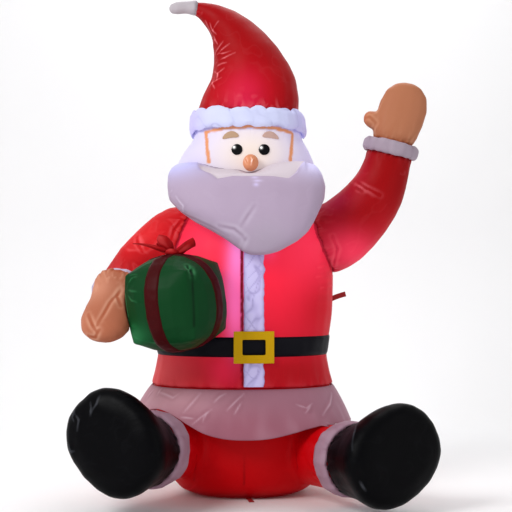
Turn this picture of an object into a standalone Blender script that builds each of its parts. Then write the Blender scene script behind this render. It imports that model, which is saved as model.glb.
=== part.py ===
"""A seated inflatable garden Santa, sewn from nylon bags: waving arm, gift box, black boots."""

import math

import bmesh
import bpy
from mathutils import Matrix, Vector
from mathutils.bvhtree import BVHTree

# Proportions are drawn in units of 1/120 of the figure's height: one unit is 10 mm at 1.2 m.
# +X is the viewer's right, -Y is the front, and the floor is at z = 0.
FIGURE_HEIGHT = 1.2
UNIT = FIGURE_HEIGHT / 120

# Gap between pieces that touch, and how far a cutter reaches past its piece for it.
SEAM_GAP = 0.0004
WELD = 0.00001


# Sewn trim and fittings, in metres.
BELT_WIDTH = 0.046
BELT_THICKNESS = 0.003
BUCKLE_WIDTH = 0.093
BUCKLE_HEIGHT = 0.074
BUCKLE_BAR_SIDE = 0.020
BUCKLE_BAR_TOP = 0.0195
BUCKLE_THICKNESS = 0.003
PLACKET_WIDTH = 0.047
PLACKET_THICKNESS = 0.004
HEM_THICKNESS = 0.003
SLEEVE_CUFF_WIDTH = 0.033
SLEEVE_CUFF_THICKNESS = 0.011
BOOT_CUFF_WIDTH = 0.052
BOOT_CUFF_THICKNESS = 0.010
HAT_BAND_WIDTH = 0.060
HAT_BAND_THICKNESS = 0.0125
EYE_RADIUS = 0.0135
PATCH_THICKNESS = 0.0016
PATCH_GAP = 0.0012
GIFT_SIDE = 0.165
GIFT_TALL = 0.163
GIFT_BULGE = 0.027
RIBBON_WIDTH = 0.034
RIBBON_THICKNESS = 0.0018
BOW_STRIP_WIDTH = 0.020
BOW_TAIL_WIDTH = 0.016
STRAP_WIDTH = 0.0125
STRAP_THICKNESS = 0.0018
SIDE_STRAP_LENGTH = 0.034
FLOOR_STRAP_LENGTH = 0.052
BLOWER_RADIUS = 0.058
BLOWER_DEPTH = 0.034
BLOWER_PROUD = 0.010
BLOWER_RIM = 0.007
BLOWER_RECESS = 0.006
BLOWER_HEIGHT = 10.5
BLOWER_BEVEL = 0.002
BLOWER_SIDES = 20
GRILLE_HOOP_WIDTH = 0.005
GRILLE_HOOP_FRONT = 0.001
GRILLE_HOOP_BACK = 0.003
GRILLE_BARS = 4
GRILLE_BAR_WIDTH = 0.004
GRILLE_BAR_DEPTH = 0.0026
GLAND_RADIUS = 0.008
GLAND_LENGTH = 0.016
GLAND_COLLAR = 0.004
GLAND_ROOT = 0.008
GLAND_TIP = 0.55
GLAND_NECK = 0.62
GLAND_SIDES = 12
GLAND_PLACE = (9.6, 5.0)

# Heights of the seams that cross the trunk, in units.
HEM_SEAM = 26.2
NECK_SEAM = 70.0
BELT_MIDDLE = 35.7

JACKET_LEVELS = (29.2, 43.0, 50.0, 56.0, 60.5, 64.5, 67.8)

TRUNK_SIDES = 28
LIMB_SIDES = 16
HAND_SIDES = 14
HAND_POWER = 2.2
BOOT_SIDES = 20
BOOT_POWER = 2.3
WRIST_BEND = 0.05
FORWARD = Vector((0, -1, 0))
UP = Vector((0, 0, 1))
RIGHT = Vector((1, 0, 0))

# Trunk and head rows are: height, centre x, centre y, half width, half depth.
TROUSERS_ROWS = (
    (0.0, -1.2, -0.4, 12.6, 11.2),
    (1.4, -1.2, -0.4, 15.6, 13.9),
    (3.6, -1.2, -0.3, 17.8, 15.8),
    (7.5, -1.3, -0.2, 19.8, 17.2),
    (13.0, -1.5, 0.0, 20.8, 17.9),
    (20.0, -1.7, 0.0, 21.2, 18.0),
    (26.2, -1.9, 0.0, 21.8, 18.2),
)
JACKET_ROWS = (
    (26.2, -1.9, 0.0, 22.2, 18.6),
    (29.0, -1.9, 0.0, 21.4, 18.2),
    (32.6, -1.9, 0.0, 20.6, 17.8),
    (35.2, -1.8, 0.0, 20.7, 17.8),
    (37.8, -1.7, 0.0, 21.0, 18.0),
    (42.0, -1.6, 0.0, 21.6, 18.3),
    (48.0, -1.4, 0.0, 21.7, 18.3),
    (54.0, -1.0, 0.0, 21.4, 18.0),
    (60.0, -0.5, 0.0, 20.2, 17.0),
    (65.0, -0.2, 0.1, 17.8, 15.4),
    (68.5, 0.0, 0.2, 14.8, 13.2),
    (70.0, 0.0, 0.3, 12.6, 11.6),
)
HEAD_ROWS = (
    (70.0, 0.0, 0.3, 12.8, 11.4),
    (73.0, -0.4, 0.2, 15.9, 12.6),
    (76.5, -0.9, 0.1, 17.1, 12.9),
    (79.5, -1.0, 0.0, 16.8, 12.9),
    (82.4, -0.8, 0.0, 15.4, 12.8),
    (85.5, -0.5, 0.0, 13.3, 12.6),
    (91.5, -0.7, 0.0, 12.6, 12.4),
)
TRUNK_POWER = 2.15
HEAD_POWER = 2.4

# Beard rows are: height, centre x, front y, back y, half width.
BEARD_ROWS = (
    (56.9, 2.0, -22.2, -20.0, 2.0),
    (57.7, 2.5, -22.9, -19.2, 4.2),
    (60.2, 3.0, -23.8, -17.2, 8.2),
    (62.4, 2.4, -24.2, -15.4, 11.2),
    (64.6, 1.1, -24.2, -13.6, 13.9),
    (67.2, -0.1, -24.0, -11.2, 16.4),
    (70.0, -0.7, -23.3, -8.4, 18.2),
    (73.2, -0.8, -22.3, -6.4, 18.6),
    (76.0, -1.1, -20.4, -5.6, 18.2),
    (77.6, -1.2, -18.0, -5.6, 17.4),
    (78.8, -1.1, -15.4, -6.0, 16.2),
)
BEARD_POWER = 2.3
BEARD_SIDES = 20

# The placket's middle, in metres, and its top, in units.
PLACKET_X = 0.010
PLACKET_TOP = 60.5
PLACKET_COLUMNS = 5
PLACKET_HEM_CLEARANCE = 0.3

# The loose hem: heights, rim half sizes and rim centre in units. Its rim lifts over each leg.
HEM_TOP = 26.0
HEM_SIDES = 32
HEM_FRONT = 14.8
HEM_SIDE_LIFT = 2.6
HEM_LEG_LIFT = 6.6
HEM_LEG_SPAN = math.radians(16)
HEM_RIM_WIDTH = 27.0
HEM_RIM_DEPTH = 23.2
HEM_RIM_CENTRE = (-2.2, -0.6)
HEM_LEG_BACK = 7
HEM_LEG_DROP = 13.8
HEM_CLEARANCE = 0.12
HEM_FLARE = 0.85
HEM_WAIST = 0.45

# The face, in units.
NOSE_PLACE = (0.2, -14.4, 79.0)
NOSE_SIZE = (1.75, 1.9, 2.0)
EYE_HEIGHT = 81.9
EYE_OFFSET = 3.2
FACE_MIDDLE = 0.2
BROW_HEIGHT = 85.5
BROW_OFFSET = 4.7
BROW_HALF_LENGTH = 2.0
BROW_HALF_WIDTH = 0.85
BROW_ARCH = 0.16
BROW_SLOPE = 0.12
PATCH_SIDES = 16

# The hat band's height, in units, and its section: (height share, outward share).
HAT_BAND_MIDDLE = 89.2
HAT_BAND_CLEARANCE = 0.003
HAT_BAND_PROFILE = (
    (-0.72, 0.0),
    (-1.0, 0.45),
    (-0.55, 1.0),
    (0.55, 1.0),
    (1.0, 0.45),
    (0.78, 0.0),
)

# The carrying hand's way down, and how far each thumb opens and where it starts, in units.
CARRYING_HAND_AXIS = Vector((-0.11, -0.78, -0.61)).normalized()
WAVING_THUMB_TURN = 78
WAVING_THUMB_START = 3.1
CARRYING_THUMB_TURN = 30
CARRYING_THUMB_START = 4.0

# The gift's place, in units, its turn and its cuts across each side, from 0 to 1.
GIFT_CENTRE = (-16.5, -24.0, 46.1)
GIFT_TURN = math.radians(-25)
GIFT_LEAN_RIGHT = math.radians(-7)
GIFT_LEAN_FRONT = math.radians(5)
GIFT_CUTS = (0.54, 0.84, 1)
GIFT_PUFF_POWER = 2.6
GIFT_ROUND_OFF = 0.02

# The bow: loops and tails are (heading, lift, length, kind), angles in degrees, sizes in units.
BOW_LOOP_HEIGHT = 1.3
BOW_LOOP_OPEN = 0.25
BOW_TAIL_DROOP = 0.35
BOW_KNOT_RADIUS = 1.1
BOW_KNOT_FLAT = 0.62
BOW_KNOT_RISE = 0.4
BOW_PARTS = (
    (160, 42, 4.4, "loop"),
    (20, 20, 3.1, "loop"),
    (184, 12, 7.8, "tail"),
    (-12, 34, 4.6, "tail"),
)

# Tether tabs: the side tabs' height in units and how they stand out, and the floor tabs' turn.
SIDE_STRAP_HEIGHT = 46.9
SIDE_STRAP_BACK = 1.5
SIDE_STRAP_RISE = math.radians(14)
SIDE_STRAP_SAG = 0.004
SIDE_STRAP_ROOT = 0.6
FLOOR_STRAP_ROOT = 0.3
FLOOR_STRAP_X = -0.004
FLOOR_STRAP_TURN = 0.16

# Hat rows are: left x and height, right x and height, y, and how square the ring is.
HAT_ROWS = (
    (-13.3, 91.5, 11.9, 91.5, 0.0, 2.4),
    (-11.7, 96.1, 12.1, 95.8, 0.0, 2.2),
    (-9.5, 100.6, 11.3, 100.3, 0.0, 2.1),
    (-8.9, 104.4, 9.6, 104.2, 0.0, 2.0),
    (-8.9, 107.5, 7.0, 108.1, -0.1, 2.0),
    (-9.3, 110.3, 3.8, 111.7, -0.2, 2.0),
    (-10.1, 112.3, 0.1, 114.9, -0.3, 2.0),
    (-11.1, 113.9, -3.7, 117.3, -0.4, 2.0),
    (-12.3, 115.2, -7.8, 118.8, -0.6, 2.0),
    (-13.1, 115.9, -11.0, 119.4, -0.7, 2.0),
    (-13.9, 116.5, -13.7, 119.6, -0.8, 2.0),
)
HAT_SIDES = 22
HAT_TIP_SIDES = 10

# Spine rows are: x, y, z, radius.
HAT_TIP_SPINE = (
    (-14.0, -0.8, 118.1, 1.45),
    (-15.8, -0.9, 118.2, 1.5),
    (-17.8, -1.0, 118.0, 1.5),
    (-19.2, -1.0, 117.8, 1.1),
    (-19.7, -1.0, 117.7, 0.5),
)
WAVING_SPINE = (
    (15.0, 0.0, 60.6, 8.6),
    (18.5, -0.6, 61.4, 8.8),
    (22.5, -1.2, 63.2, 8.3),
    (27.5, -1.8, 67.9, 7.5),
    (31.2, -2.4, 73.1, 6.6),
    (33.2, -3.0, 78.9, 5.7),
    (34.6, -3.4, 84.8, 5.4),
)
CARRYING_SPINE = (
    (-13.0, -0.8, 61.6, 7.6),
    (-17.5, -2.2, 61.6, 7.6),
    (-22.0, -5.2, 58.6, 6.9),
    (-26.3, -9.6, 54.6, 5.9),
    (-29.2, -14.4, 50.3, 5.4),
    (-30.2, -19.0, 47.1, 5.1),
)

# Mitten rows are: distance along the hand, shift towards the thumb, half width, half thickness.
MITTEN_ROWS = (
    (0.0, 0.0, 4.8, 4.6),
    (2.0, -0.1, 5.5, 4.3),
    (5.2, -0.3, 6.0, 3.8),
    (8.8, -0.6, 5.9, 3.3),
    (12.0, -0.7, 5.0, 2.7),
    (13.9, -0.7, 3.2, 1.9),
    (14.6, -0.7, 1.3, 0.8),
)
THUMB_ROWS = (
    (0.0, 0.0, 2.8, 2.3),
    (3.0, 0.0, 2.5, 2.1),
    (5.6, 0.0, 2.1, 1.9),
    (6.9, 0.0, 1.4, 1.2),
    (7.3, 0.0, 0.6, 0.5),
)

# Boot rows are: distance from the cuff, shift towards the toe, half length, half width.
BOOT_ROWS = (
    (0.0, 0.0, 7.9, 7.9),
    (2.2, 0.3, 8.4, 8.2),
    (4.8, 1.4, 9.6, 8.9),
    (7.4, 2.6, 11.3, 9.9),
    (9.8, 3.1, 12.3, 10.5),
    (11.8, 3.1, 12.1, 10.3),
    (13.2, 2.9, 10.7, 9.1),
    (14.0, 2.7, 7.6, 6.4),
)
LEG_RADIUS = 7.5
LEG_LENGTH = 20.0


def unit(*values):
    """A point given in units of the figure, in metres."""
    return Vector(values) * UNIT


class Leg:
    """Where a leg ends in its boot, which way it points and how its foot is turned."""

    def __init__(self, side, end, outward, rise, toe_turn):
        self.end = unit(*end)
        splay = math.radians(outward)
        self.axis = Vector((side * math.sin(splay), -math.cos(splay), math.tan(math.radians(rise))))
        self.axis.normalize()
        self.across = Vector((side * math.cos(splay), math.sin(splay), 0))
        self.up = self.axis.cross(self.across) * side
        turn = math.radians(toe_turn)
        self.toe = (self.up * math.cos(turn) + self.across * math.sin(turn)).normalized()
        self.instep = self.axis.cross(self.toe)


LEGS = {
    "left": Leg(1, (23.8, -26.0, 11.0), 29, 2, 58),
    "right": Leg(-1, (-22.8, -26.0, 13.2), 23, 3.5, 48),
}


# Curves through rows

def on_curve(rows, key):
    """The values of a smooth curve through rows that each start with their key."""
    keys = [row[0] for row in rows]
    key = min(max(key, keys[0]), keys[-1])
    i = min(sum(k <= key for k in keys) - 1, len(rows) - 2)
    width = keys[i + 1] - keys[i]
    t = (key - keys[i]) / width

    def slope(j, column):
        low, high = max(j - 1, 0), min(j + 1, len(rows) - 1)
        return (rows[high][column] - rows[low][column]) / (keys[high] - keys[low])

    values = []
    for column in range(1, len(rows[0])):
        a, b = rows[i][column], rows[i + 1][column]
        da, db = slope(i, column) * width, slope(i + 1, column) * width
        values.append(
            (2 * t**3 - 3 * t**2 + 1) * a
            + (t**3 - 2 * t**2 + t) * da
            + (3 * t**2 - 2 * t**3) * b
            + (t**3 - t**2) * db
        )
    return values


def spread(rows, steps):
    """Keys spread evenly over the spans between rows, with steps to a span, both ends included."""
    keys = [row[0] for row in rows]
    fine = [a + (b - a) * k / steps for a, b in zip(keys, keys[1:]) for k in range(steps)]
    return fine + [keys[-1]]


# Rings and skins

def signed_power(value, power):
    return math.copysign(abs(value) ** power, value)


def oval(centre, across, along, half_across, half_along, power, sides):
    """A ring of points on a superellipse, which starts on the across side and turns towards along."""
    ring = []
    for k in range(sides):
        turn = 2 * math.pi * k / sides
        u = signed_power(math.cos(turn), 2 / power)
        v = signed_power(math.sin(turn), 2 / power)
        ring.append(centre + across * (half_across * u) + along * (half_along * v))
    return ring


def skin(name, rings, colour, ends="capped"):
    """A closed skin over rings with equal point counts, capped at its ends or joined end to end."""
    mesh = bmesh.new()
    rows = [[mesh.verts.new(point) for point in ring] for ring in rings]
    pairs = list(zip(rows, rows[1:]))
    if ends == "joined":
        pairs.append((rows[-1], rows[0]))
    for low, high in pairs:
        for k in range(len(low)):
            n = (k + 1) % len(low)
            mesh.faces.new((low[k], low[n], high[n], high[k]))
    if ends == "capped":
        mesh.faces.new(list(reversed(rows[0])))
        mesh.faces.new(rows[-1])
    bmesh.ops.recalc_face_normals(mesh, faces=mesh.faces)
    return finished(name, mesh, colour)


def finished(name, mesh, colour):
    """An object made from the bmesh, facing out, in the figure's collection."""
    bmesh.ops.triangulate(mesh, faces=[f for f in mesh.faces if len(f.verts) > 4])
    if mesh.calc_volume(signed=True) < 0:
        bmesh.ops.reverse_faces(mesh, faces=mesh.faces)
    data = bpy.data.meshes.new(name)
    mesh.to_mesh(data)
    mesh.free()
    piece = bpy.data.objects.new(name, data)
    FIGURE.objects.link(piece)
    return dressed(piece, colour)


def dressed(piece, colour):
    piece.data.materials.clear()
    piece.data.materials.append(FABRICS[colour])
    if hasattr(piece.data, "shade_smooth"):
        piece.data.shade_smooth()
        piece.data.set_sharp_from_angle(angle=math.radians(50))
    return piece


def spine_rings(spine, steps, sides, finish=None):
    """Round rings along a smooth spine, without twist. Finish is the last ring's direction."""
    rows = [(k, *row) for k, row in enumerate(spine)]
    keys = spread(rows, steps)
    points, radii = [], []
    for key in keys:
        x, y, z, radius = on_curve(rows, key)
        points.append(unit(x, y, z))
        radii.append(radius * UNIT)
    across = RIGHT
    rings = []
    for k, centre in enumerate(points):
        ahead = points[min(k + 2, len(points) - 1)]
        behind = points[max(k - 2, 0)]
        along = (ahead - behind).normalized()
        if finish and k == len(points) - 1:
            along = finish
        across = (across - along * across.dot(along)).normalized()
        rings.append(oval(centre, across, along.cross(across), radii[k], radii[k], 2, sides))
    return rings


def trunk_ring(rows, height, power, sides, outset=0.0):
    """The trunk's outline at a height in units, pushed out by outset metres."""
    x, y, half_width, half_depth = on_curve(rows, height)
    return oval(
        unit(x, y, height),
        RIGHT,
        -FORWARD,
        half_width * UNIT + outset,
        half_depth * UNIT + outset,
        power,
        sides,
    )


def front_of(rows, power, x, height):
    """The trunk's front y at an x in metres and a height in units."""
    centre_x, centre_y, half_width, half_depth = on_curve(rows, height)
    share = min(abs(x - centre_x * UNIT) / (half_width * UNIT), 0.98)
    return centre_y * UNIT - half_depth * UNIT * (1 - share**power) ** (1 / power)


# Fitting one piece to another

def solid_copy(piece, name):
    """The piece's mesh with its modifiers applied, as a cutter that no render shows."""
    graph = bpy.context.evaluated_depsgraph_get()
    data = bpy.data.meshes.new_from_object(piece.evaluated_get(graph))
    data.transform(piece.matrix_world)
    cutter = bpy.data.objects.new(name, data)
    CUTTERS.objects.link(cutter)
    cutter.hide_render = True
    cutter.display_type = "WIRE"
    return cutter


def fit(piece, *neighbours, gap=SEAM_GAP):
    """Cuts the piece back from its neighbours, with the seam gap between them."""
    for neighbour in neighbours:
        cutter = solid_copy(neighbour, f"{piece.name}.fit.{neighbour.name}")
        mesh = bmesh.new()
        mesh.from_mesh(cutter.data)
        bmesh.ops.remove_doubles(mesh, verts=mesh.verts, dist=WELD)
        mesh.normal_update()
        shifts = [(v, v.co + v.normal * (gap * v.calc_shell_factor())) for v in mesh.verts]
        for vertex, place in shifts:
            vertex.co = place
        mesh.to_mesh(cutter.data)
        mesh.free()
        boolean(piece, cutter, "DIFFERENCE")


def baked(piece):
    """The piece's mesh with its modifiers applied."""
    bpy.context.view_layer.update()
    graph = bpy.context.evaluated_depsgraph_get()
    return bpy.data.meshes.new_from_object(piece.evaluated_get(graph))


def boolean(piece, other, operation):
    """Applies a Boolean with another object and keeps the result as the piece's own mesh."""
    modifier = piece.modifiers.new(operation.lower(), "BOOLEAN")
    modifier.operation = operation
    modifier.object = other
    data = baked(piece)
    if not data.polygons:
        # A cutter that touches itself can leave nothing, so the cut is made again with care for that.
        modifier.use_self = True
        data = baked(piece)
    piece.modifiers.clear()
    old = piece.data
    piece.data = data
    bpy.data.meshes.remove(old)


def keep_largest_body(piece):
    """Drops the small bits that a cut has left apart from the piece's main body."""
    mesh = bmesh.new()
    mesh.from_mesh(piece.data)
    bodies = []
    left = set(mesh.verts)
    while left:
        body = set()
        front = [left.pop()]
        while front:
            vertex = front.pop()
            body.add(vertex)
            near = {edge.other_vert(vertex) for edge in vertex.link_edges} & left
            left -= near
            front.extend(near)
        bodies.append(body)
    main = max(bodies, key=len)
    bmesh.ops.delete(mesh, geom=[v for v in mesh.verts if v not in main], context="VERTS")
    mesh.to_mesh(piece.data)
    mesh.free()


def joined(piece, *others):
    """Joins others to the piece by Boolean union and removes them."""
    for other in others:
        boolean(piece, other, "UNION")
        bpy.data.objects.remove(other)
    return piece


# Trunk

def make_trousers():
    rings = [
        trunk_ring(TROUSERS_ROWS, height, TRUNK_POWER, TRUNK_SIDES)
        for height in spread(TROUSERS_ROWS, 1)
    ]
    seat = skin("trousers", rings, "red")
    for leg in LEGS.values():
        radius = LEG_RADIUS * UNIT
        rings = [
            oval(leg.end - leg.axis * back, leg.across, leg.up, radius, radius, 2, LIMB_SIDES)
            for back in (LEG_LENGTH * UNIT, SEAM_GAP)
        ]
        joined(seat, skin("trouser_leg", rings, "red"))
    return seat


def jacket_levels():
    """Heights of the jacket's rings in units, with the belt's two edges among them."""
    half = BELT_WIDTH / 2 / UNIT
    edges = (BELT_MIDDLE - half, BELT_MIDDLE + half)
    return sorted((*edges, HEM_SEAM + SEAM_GAP / UNIT, *JACKET_LEVELS, NECK_SEAM))


def make_jacket():
    rings = [
        trunk_ring(JACKET_ROWS, height, TRUNK_POWER, TRUNK_SIDES) for height in jacket_levels()
    ]
    return skin("jacket", rings, "red")


def make_belt():
    half = BELT_WIDTH / 2 / UNIT
    rings = []
    for outset in (SEAM_GAP, SEAM_GAP + BELT_THICKNESS):
        for height in (BELT_MIDDLE - half, BELT_MIDDLE + half):
            rings.append(trunk_ring(JACKET_ROWS, height, TRUNK_POWER, TRUNK_SIDES, outset))
    inner_low, inner_high, outer_low, outer_high = rings
    return skin("belt", [inner_low, inner_high, outer_high, outer_low], "black", "joined")


def front_strip(name, heights, half_width, gap, thickness, colour):
    """A thin strip down the jacket's front that follows its surface."""
    grid = []
    for height in heights:
        row = []
        for k in range(PLACKET_COLUMNS):
            x = PLACKET_X + half_width * (2 * k / (PLACKET_COLUMNS - 1) - 1)
            row.append((x, height))
        grid.append(row)
    return front_shell(name, grid, gap, thickness, colour)


def front_shell(name, grid, gap, thickness, colour):
    """A shell over a grid of (x, height) places on the jacket's front, thickened outwards."""
    mesh = bmesh.new()
    rows = []
    for row in grid:
        rows.append([])
        for x, height in row:
            y = front_of(JACKET_ROWS, TRUNK_POWER, x, height) - gap
            rows[-1].append(mesh.verts.new((x, y, height * UNIT)))
    for low, high in zip(rows, rows[1:]):
        for k in range(len(low) - 1):
            mesh.faces.new((low[k], low[k + 1], high[k + 1], high[k]))
    return thickened(name, mesh, thickness, colour)


def thickened(name, mesh, thickness, colour):
    """Solidifies an open surface outwards into a closed shell."""
    data = bpy.data.meshes.new(name)
    mesh.to_mesh(data)
    mesh.free()
    piece = bpy.data.objects.new(name, data)
    FIGURE.objects.link(piece)
    modifier = piece.modifiers.new("thickness", "SOLIDIFY")
    modifier.thickness = thickness
    modifier.offset = 1
    modifier.use_even_offset = True
    return dressed(piece, colour)


def make_plackets():
    half = BELT_WIDTH / 2 / UNIT
    clear = SEAM_GAP / UNIT
    levels = jacket_levels()
    upper = [BELT_MIDDLE + half + clear]
    upper += [h for h in levels if upper[0] < h < PLACKET_TOP] + [PLACKET_TOP]
    lower = [HEM_SEAM + PLACKET_HEM_CLEARANCE, JACKET_LEVELS[0], BELT_MIDDLE - half - clear]
    for name, heights in (("placket_upper", upper), ("placket_lower", lower)):
        front_strip(name, heights, PLACKET_WIDTH / 2, SEAM_GAP, PLACKET_THICKNESS, "white")


def make_buckle():
    """A flat frame bent round the belt, in front of belt and placket."""
    gap = max(BELT_THICKNESS, PLACKET_THICKNESS) + 3 * SEAM_GAP
    half_width, half_height = BUCKLE_WIDTH / 2, BUCKLE_HEIGHT / 2 / UNIT
    bar_side, bar_top = BUCKLE_BAR_SIDE, BUCKLE_BAR_TOP / UNIT
    xs = [-half_width, bar_side - half_width, 0, half_width - bar_side, half_width]
    heights = [-half_height, bar_top - half_height, half_height - bar_top, half_height]
    mesh = bmesh.new()
    verts = {}
    for i, dx in enumerate(xs):
        for j, dh in enumerate(heights):
            x, height = PLACKET_X + dx, BELT_MIDDLE + dh
            nearest = min(front_of(JACKET_ROWS, TRUNK_POWER, x, BELT_MIDDLE + h) for h in heights)
            verts[i, j] = mesh.verts.new((x, nearest - gap, height * UNIT))
    for i in range(len(xs) - 1):
        for j in range(len(heights) - 1):
            if j != 1 or i in (0, len(xs) - 2):
                corners = (verts[i, j], verts[i + 1, j], verts[i + 1, j + 1], verts[i, j + 1])
                mesh.faces.new(corners)
    return thickened("belt_buckle", mesh, BUCKLE_THICKNESS, "gold")


def hem_rim_height(turn):
    """The hem's lower edge in units, which rises where it passes over a leg."""
    height = HEM_FRONT + HEM_SIDE_LIFT * math.cos(turn) ** 2
    for leg in LEGS.values():
        place = leg.end - leg.axis * (HEM_LEG_BACK * UNIT)
        leg_turn = math.atan2(place.y / HEM_RIM_DEPTH, place.x / HEM_RIM_WIDTH)
        away = math.remainder(turn - leg_turn, 2 * math.pi)
        lift = HEM_LEG_LIFT + place.z / UNIT - HEM_LEG_DROP
        height += lift * math.exp(-((away / HEM_LEG_SPAN) ** 2) / 2)
    return height


def make_hem():
    """The loose skirt: a flared shell from the jacket's seam to its wavy rim."""
    rings = []
    section = ((0, 1), (HEM_WAIST, 1), (1, 1), (1, 0), (HEM_WAIST, 0), (0, 0))
    rim_x, rim_y = HEM_RIM_CENTRE
    x, y, half_width, half_depth = on_curve(TROUSERS_ROWS, HEM_TOP)
    half_width += HEM_CLEARANCE
    half_depth += HEM_CLEARANCE
    for k in range(HEM_SIDES):
        turn = 2 * math.pi * k / HEM_SIDES
        u = signed_power(math.cos(turn), 2 / TRUNK_POWER)
        v = signed_power(math.sin(turn), 2 / TRUNK_POWER)
        out = Vector((u, v, 0)).normalized()
        shell = []
        top = unit(x + half_width * u, y + half_depth * v, HEM_TOP)
        rim = unit(rim_x + HEM_RIM_WIDTH * u, rim_y + HEM_RIM_DEPTH * v, hem_rim_height(turn))
        for share, outset in section:
            place = top.lerp(rim, share**HEM_FLARE)
            place.z = top.z + (rim.z - top.z) * share
            shell.append(place + out * (outset * HEM_THICKNESS + SEAM_GAP))
        rings.append(shell)
    return skin("jacket_hem", rings, "hem", "joined")


# Head

def make_head():
    heights = [NECK_SEAM + SEAM_GAP / UNIT] + [h for h, *_ in HEAD_ROWS[1:]]
    rings = [trunk_ring(HEAD_ROWS, height, HEAD_POWER, TRUNK_SIDES) for height in heights]
    return skin("head", rings, "white")


def make_beard():
    rings = []
    for height in spread(BEARD_ROWS, 1):
        x, front, back, half_width = on_curve(BEARD_ROWS, height)
        centre = unit(x, (front + back) / 2, height)
        half_depth = (back - front) / 2
        rings.append(
            oval(
                centre,
                RIGHT,
                -FORWARD,
                half_width * UNIT,
                half_depth * UNIT,
                BEARD_POWER,
                BEARD_SIDES,
            )
        )
    return skin("beard", rings, "beard")


def make_nose():
    bpy.ops.mesh.primitive_uv_sphere_add(segments=12, ring_count=7, radius=1)
    nose = bpy.context.object
    nose.name = nose.data.name = "nose"
    nose.data.transform(Matrix.Diagonal((*NOSE_SIZE, 1)))
    nose.data.transform(Matrix.Translation(Vector(NOSE_PLACE)))
    nose.data.transform(Matrix.Scale(UNIT, 4))
    return adopted(nose, "skin")


def adopted(piece, colour):
    """Moves an object that an operator made into the figure's collection."""
    for collection in list(piece.users_collection):
        collection.objects.unlink(piece)
    FIGURE.objects.link(piece)
    return dressed(piece, colour)


def face_patch(name, outline, colour):
    """A thin patch on the face: its outline, in x and height units, laid on the head's front."""
    head = bpy.data.objects["head"]
    tree = BVHTree.FromObject(head, bpy.context.evaluated_depsgraph_get())
    mesh = bmesh.new()
    middle = Vector((sum(p[0] for p in outline), sum(p[1] for p in outline))) / len(outline)
    ring = []
    for x, z in [*outline, middle]:
        hit, _, _, _ = tree.ray_cast(Vector((x * UNIT, -1, z * UNIT)), -FORWARD)
        ring.append(mesh.verts.new(hit + FORWARD * PATCH_GAP))
    centre = ring.pop()
    for k in range(len(ring)):
        mesh.faces.new((ring[k], ring[(k + 1) % len(ring)], centre))
    bmesh.ops.recalc_face_normals(mesh, faces=mesh.faces)
    mesh.normal_update()
    if sum(face.normal.y for face in mesh.faces) > 0:
        bmesh.ops.reverse_faces(mesh, faces=mesh.faces)
    return thickened(name, mesh, PATCH_THICKNESS, colour)


def make_face():
    radius = EYE_RADIUS / UNIT
    for side, name in ((1, "left"), (-1, "right")):
        eye_x = FACE_MIDDLE + side * EYE_OFFSET
        circle = [
            (eye_x + radius * math.cos(a), EYE_HEIGHT + radius * math.sin(a))
            for a in (2 * math.pi * k / PATCH_SIDES for k in range(PATCH_SIDES))
        ]
        face_patch("eye_" + name, circle, "black")
        brow = []
        for k in range(PATCH_SIDES):
            a = 2 * math.pi * k / PATCH_SIDES
            u = BROW_HALF_LENGTH * math.cos(a)
            v = BROW_HALF_WIDTH * math.sin(a) - BROW_ARCH * u * u - BROW_SLOPE * u
            brow.append((FACE_MIDDLE + side * (BROW_OFFSET + u), BROW_HEIGHT + v))
        face_patch("brow_" + name, brow, "tan")


# Hat

def make_hat():
    rings = []
    for left_x, left_z, right_x, right_z, y, power in HAT_ROWS:
        left = unit(left_x, y, left_z) + UP * SEAM_GAP
        right = unit(right_x, y, right_z) + UP * SEAM_GAP
        across = (right - left).normalized()
        radius = (right - left).length / 2
        centre = (left + right) / 2
        rings.append(oval(centre, across, -FORWARD, radius, radius, power, HAT_SIDES))
    hat = skin("hat", rings, "red")
    tip = skin("hat_tip", spine_rings(HAT_TIP_SPINE, 1, HAT_TIP_SIDES), "white")
    fit(tip, hat)


def make_hat_band():
    """A puffed band round the joint of head and hat, whose inside follows the head."""
    half = HAT_BAND_WIDTH / 2 / UNIT
    rings = []
    for rise, reach in HAT_BAND_PROFILE:
        height = HAT_BAND_MIDDLE + half * rise
        outset = HAT_BAND_CLEARANCE + HAT_BAND_THICKNESS * reach
        rings.append(trunk_ring(HEAD_ROWS, height, HEAD_POWER, TRUNK_SIDES, outset))
    return skin("hat_band", rings, "white", "joined")


# Arms

def make_sleeve(name, spine, jacket):
    _, axis = sleeve_end(spine)
    sleeve = skin(name, spine_rings(spine, 2, LIMB_SIDES, finish=axis), "red")
    fit(sleeve, jacket)
    return sleeve


def sleeve_end(spine):
    """The last point of a sleeve's spine and the way it leaves."""
    end = unit(*spine[-1][:3])
    return end, (end - unit(*spine[-2][:3])).normalized()


def widest(piece, end, axis, back):
    """The piece's largest reach from an axis, over the length back from the axis's end."""
    reach = 0
    for vertex in piece.data.vertices:
        offset = vertex.co - end
        along = offset.dot(axis)
        if -1.6 * back < along < back:
            reach = max(reach, (offset - axis * along).length)
    return reach


def make_cuff(name, end, axis, inner, width, thickness, colour, sides=LIMB_SIDES):
    """A puffed ring round the end of a tube that is inside the inner radius."""
    across = axis.cross(UP if abs(axis.z) < 0.9 else FORWARD).normalized()
    along = axis.cross(across)
    profile = (
        (0.0, 0.0),
        (0.0, 0.55),
        (-0.22, 1.0),
        (-0.78, 1.0),
        (-1.0, 0.55),
        (-1.0, 0.0),
    )
    rings = []
    for k in range(sides):
        turn = 2 * math.pi * k / sides
        out = across * math.cos(turn) + along * math.sin(turn)
        rings.append(
            [
                end + axis * (width * back) + out * (inner / math.cos(math.pi / sides) + thickness * reach)
                for back, reach in profile
            ]
        )
    return skin(name, rings, colour, "joined")


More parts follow.
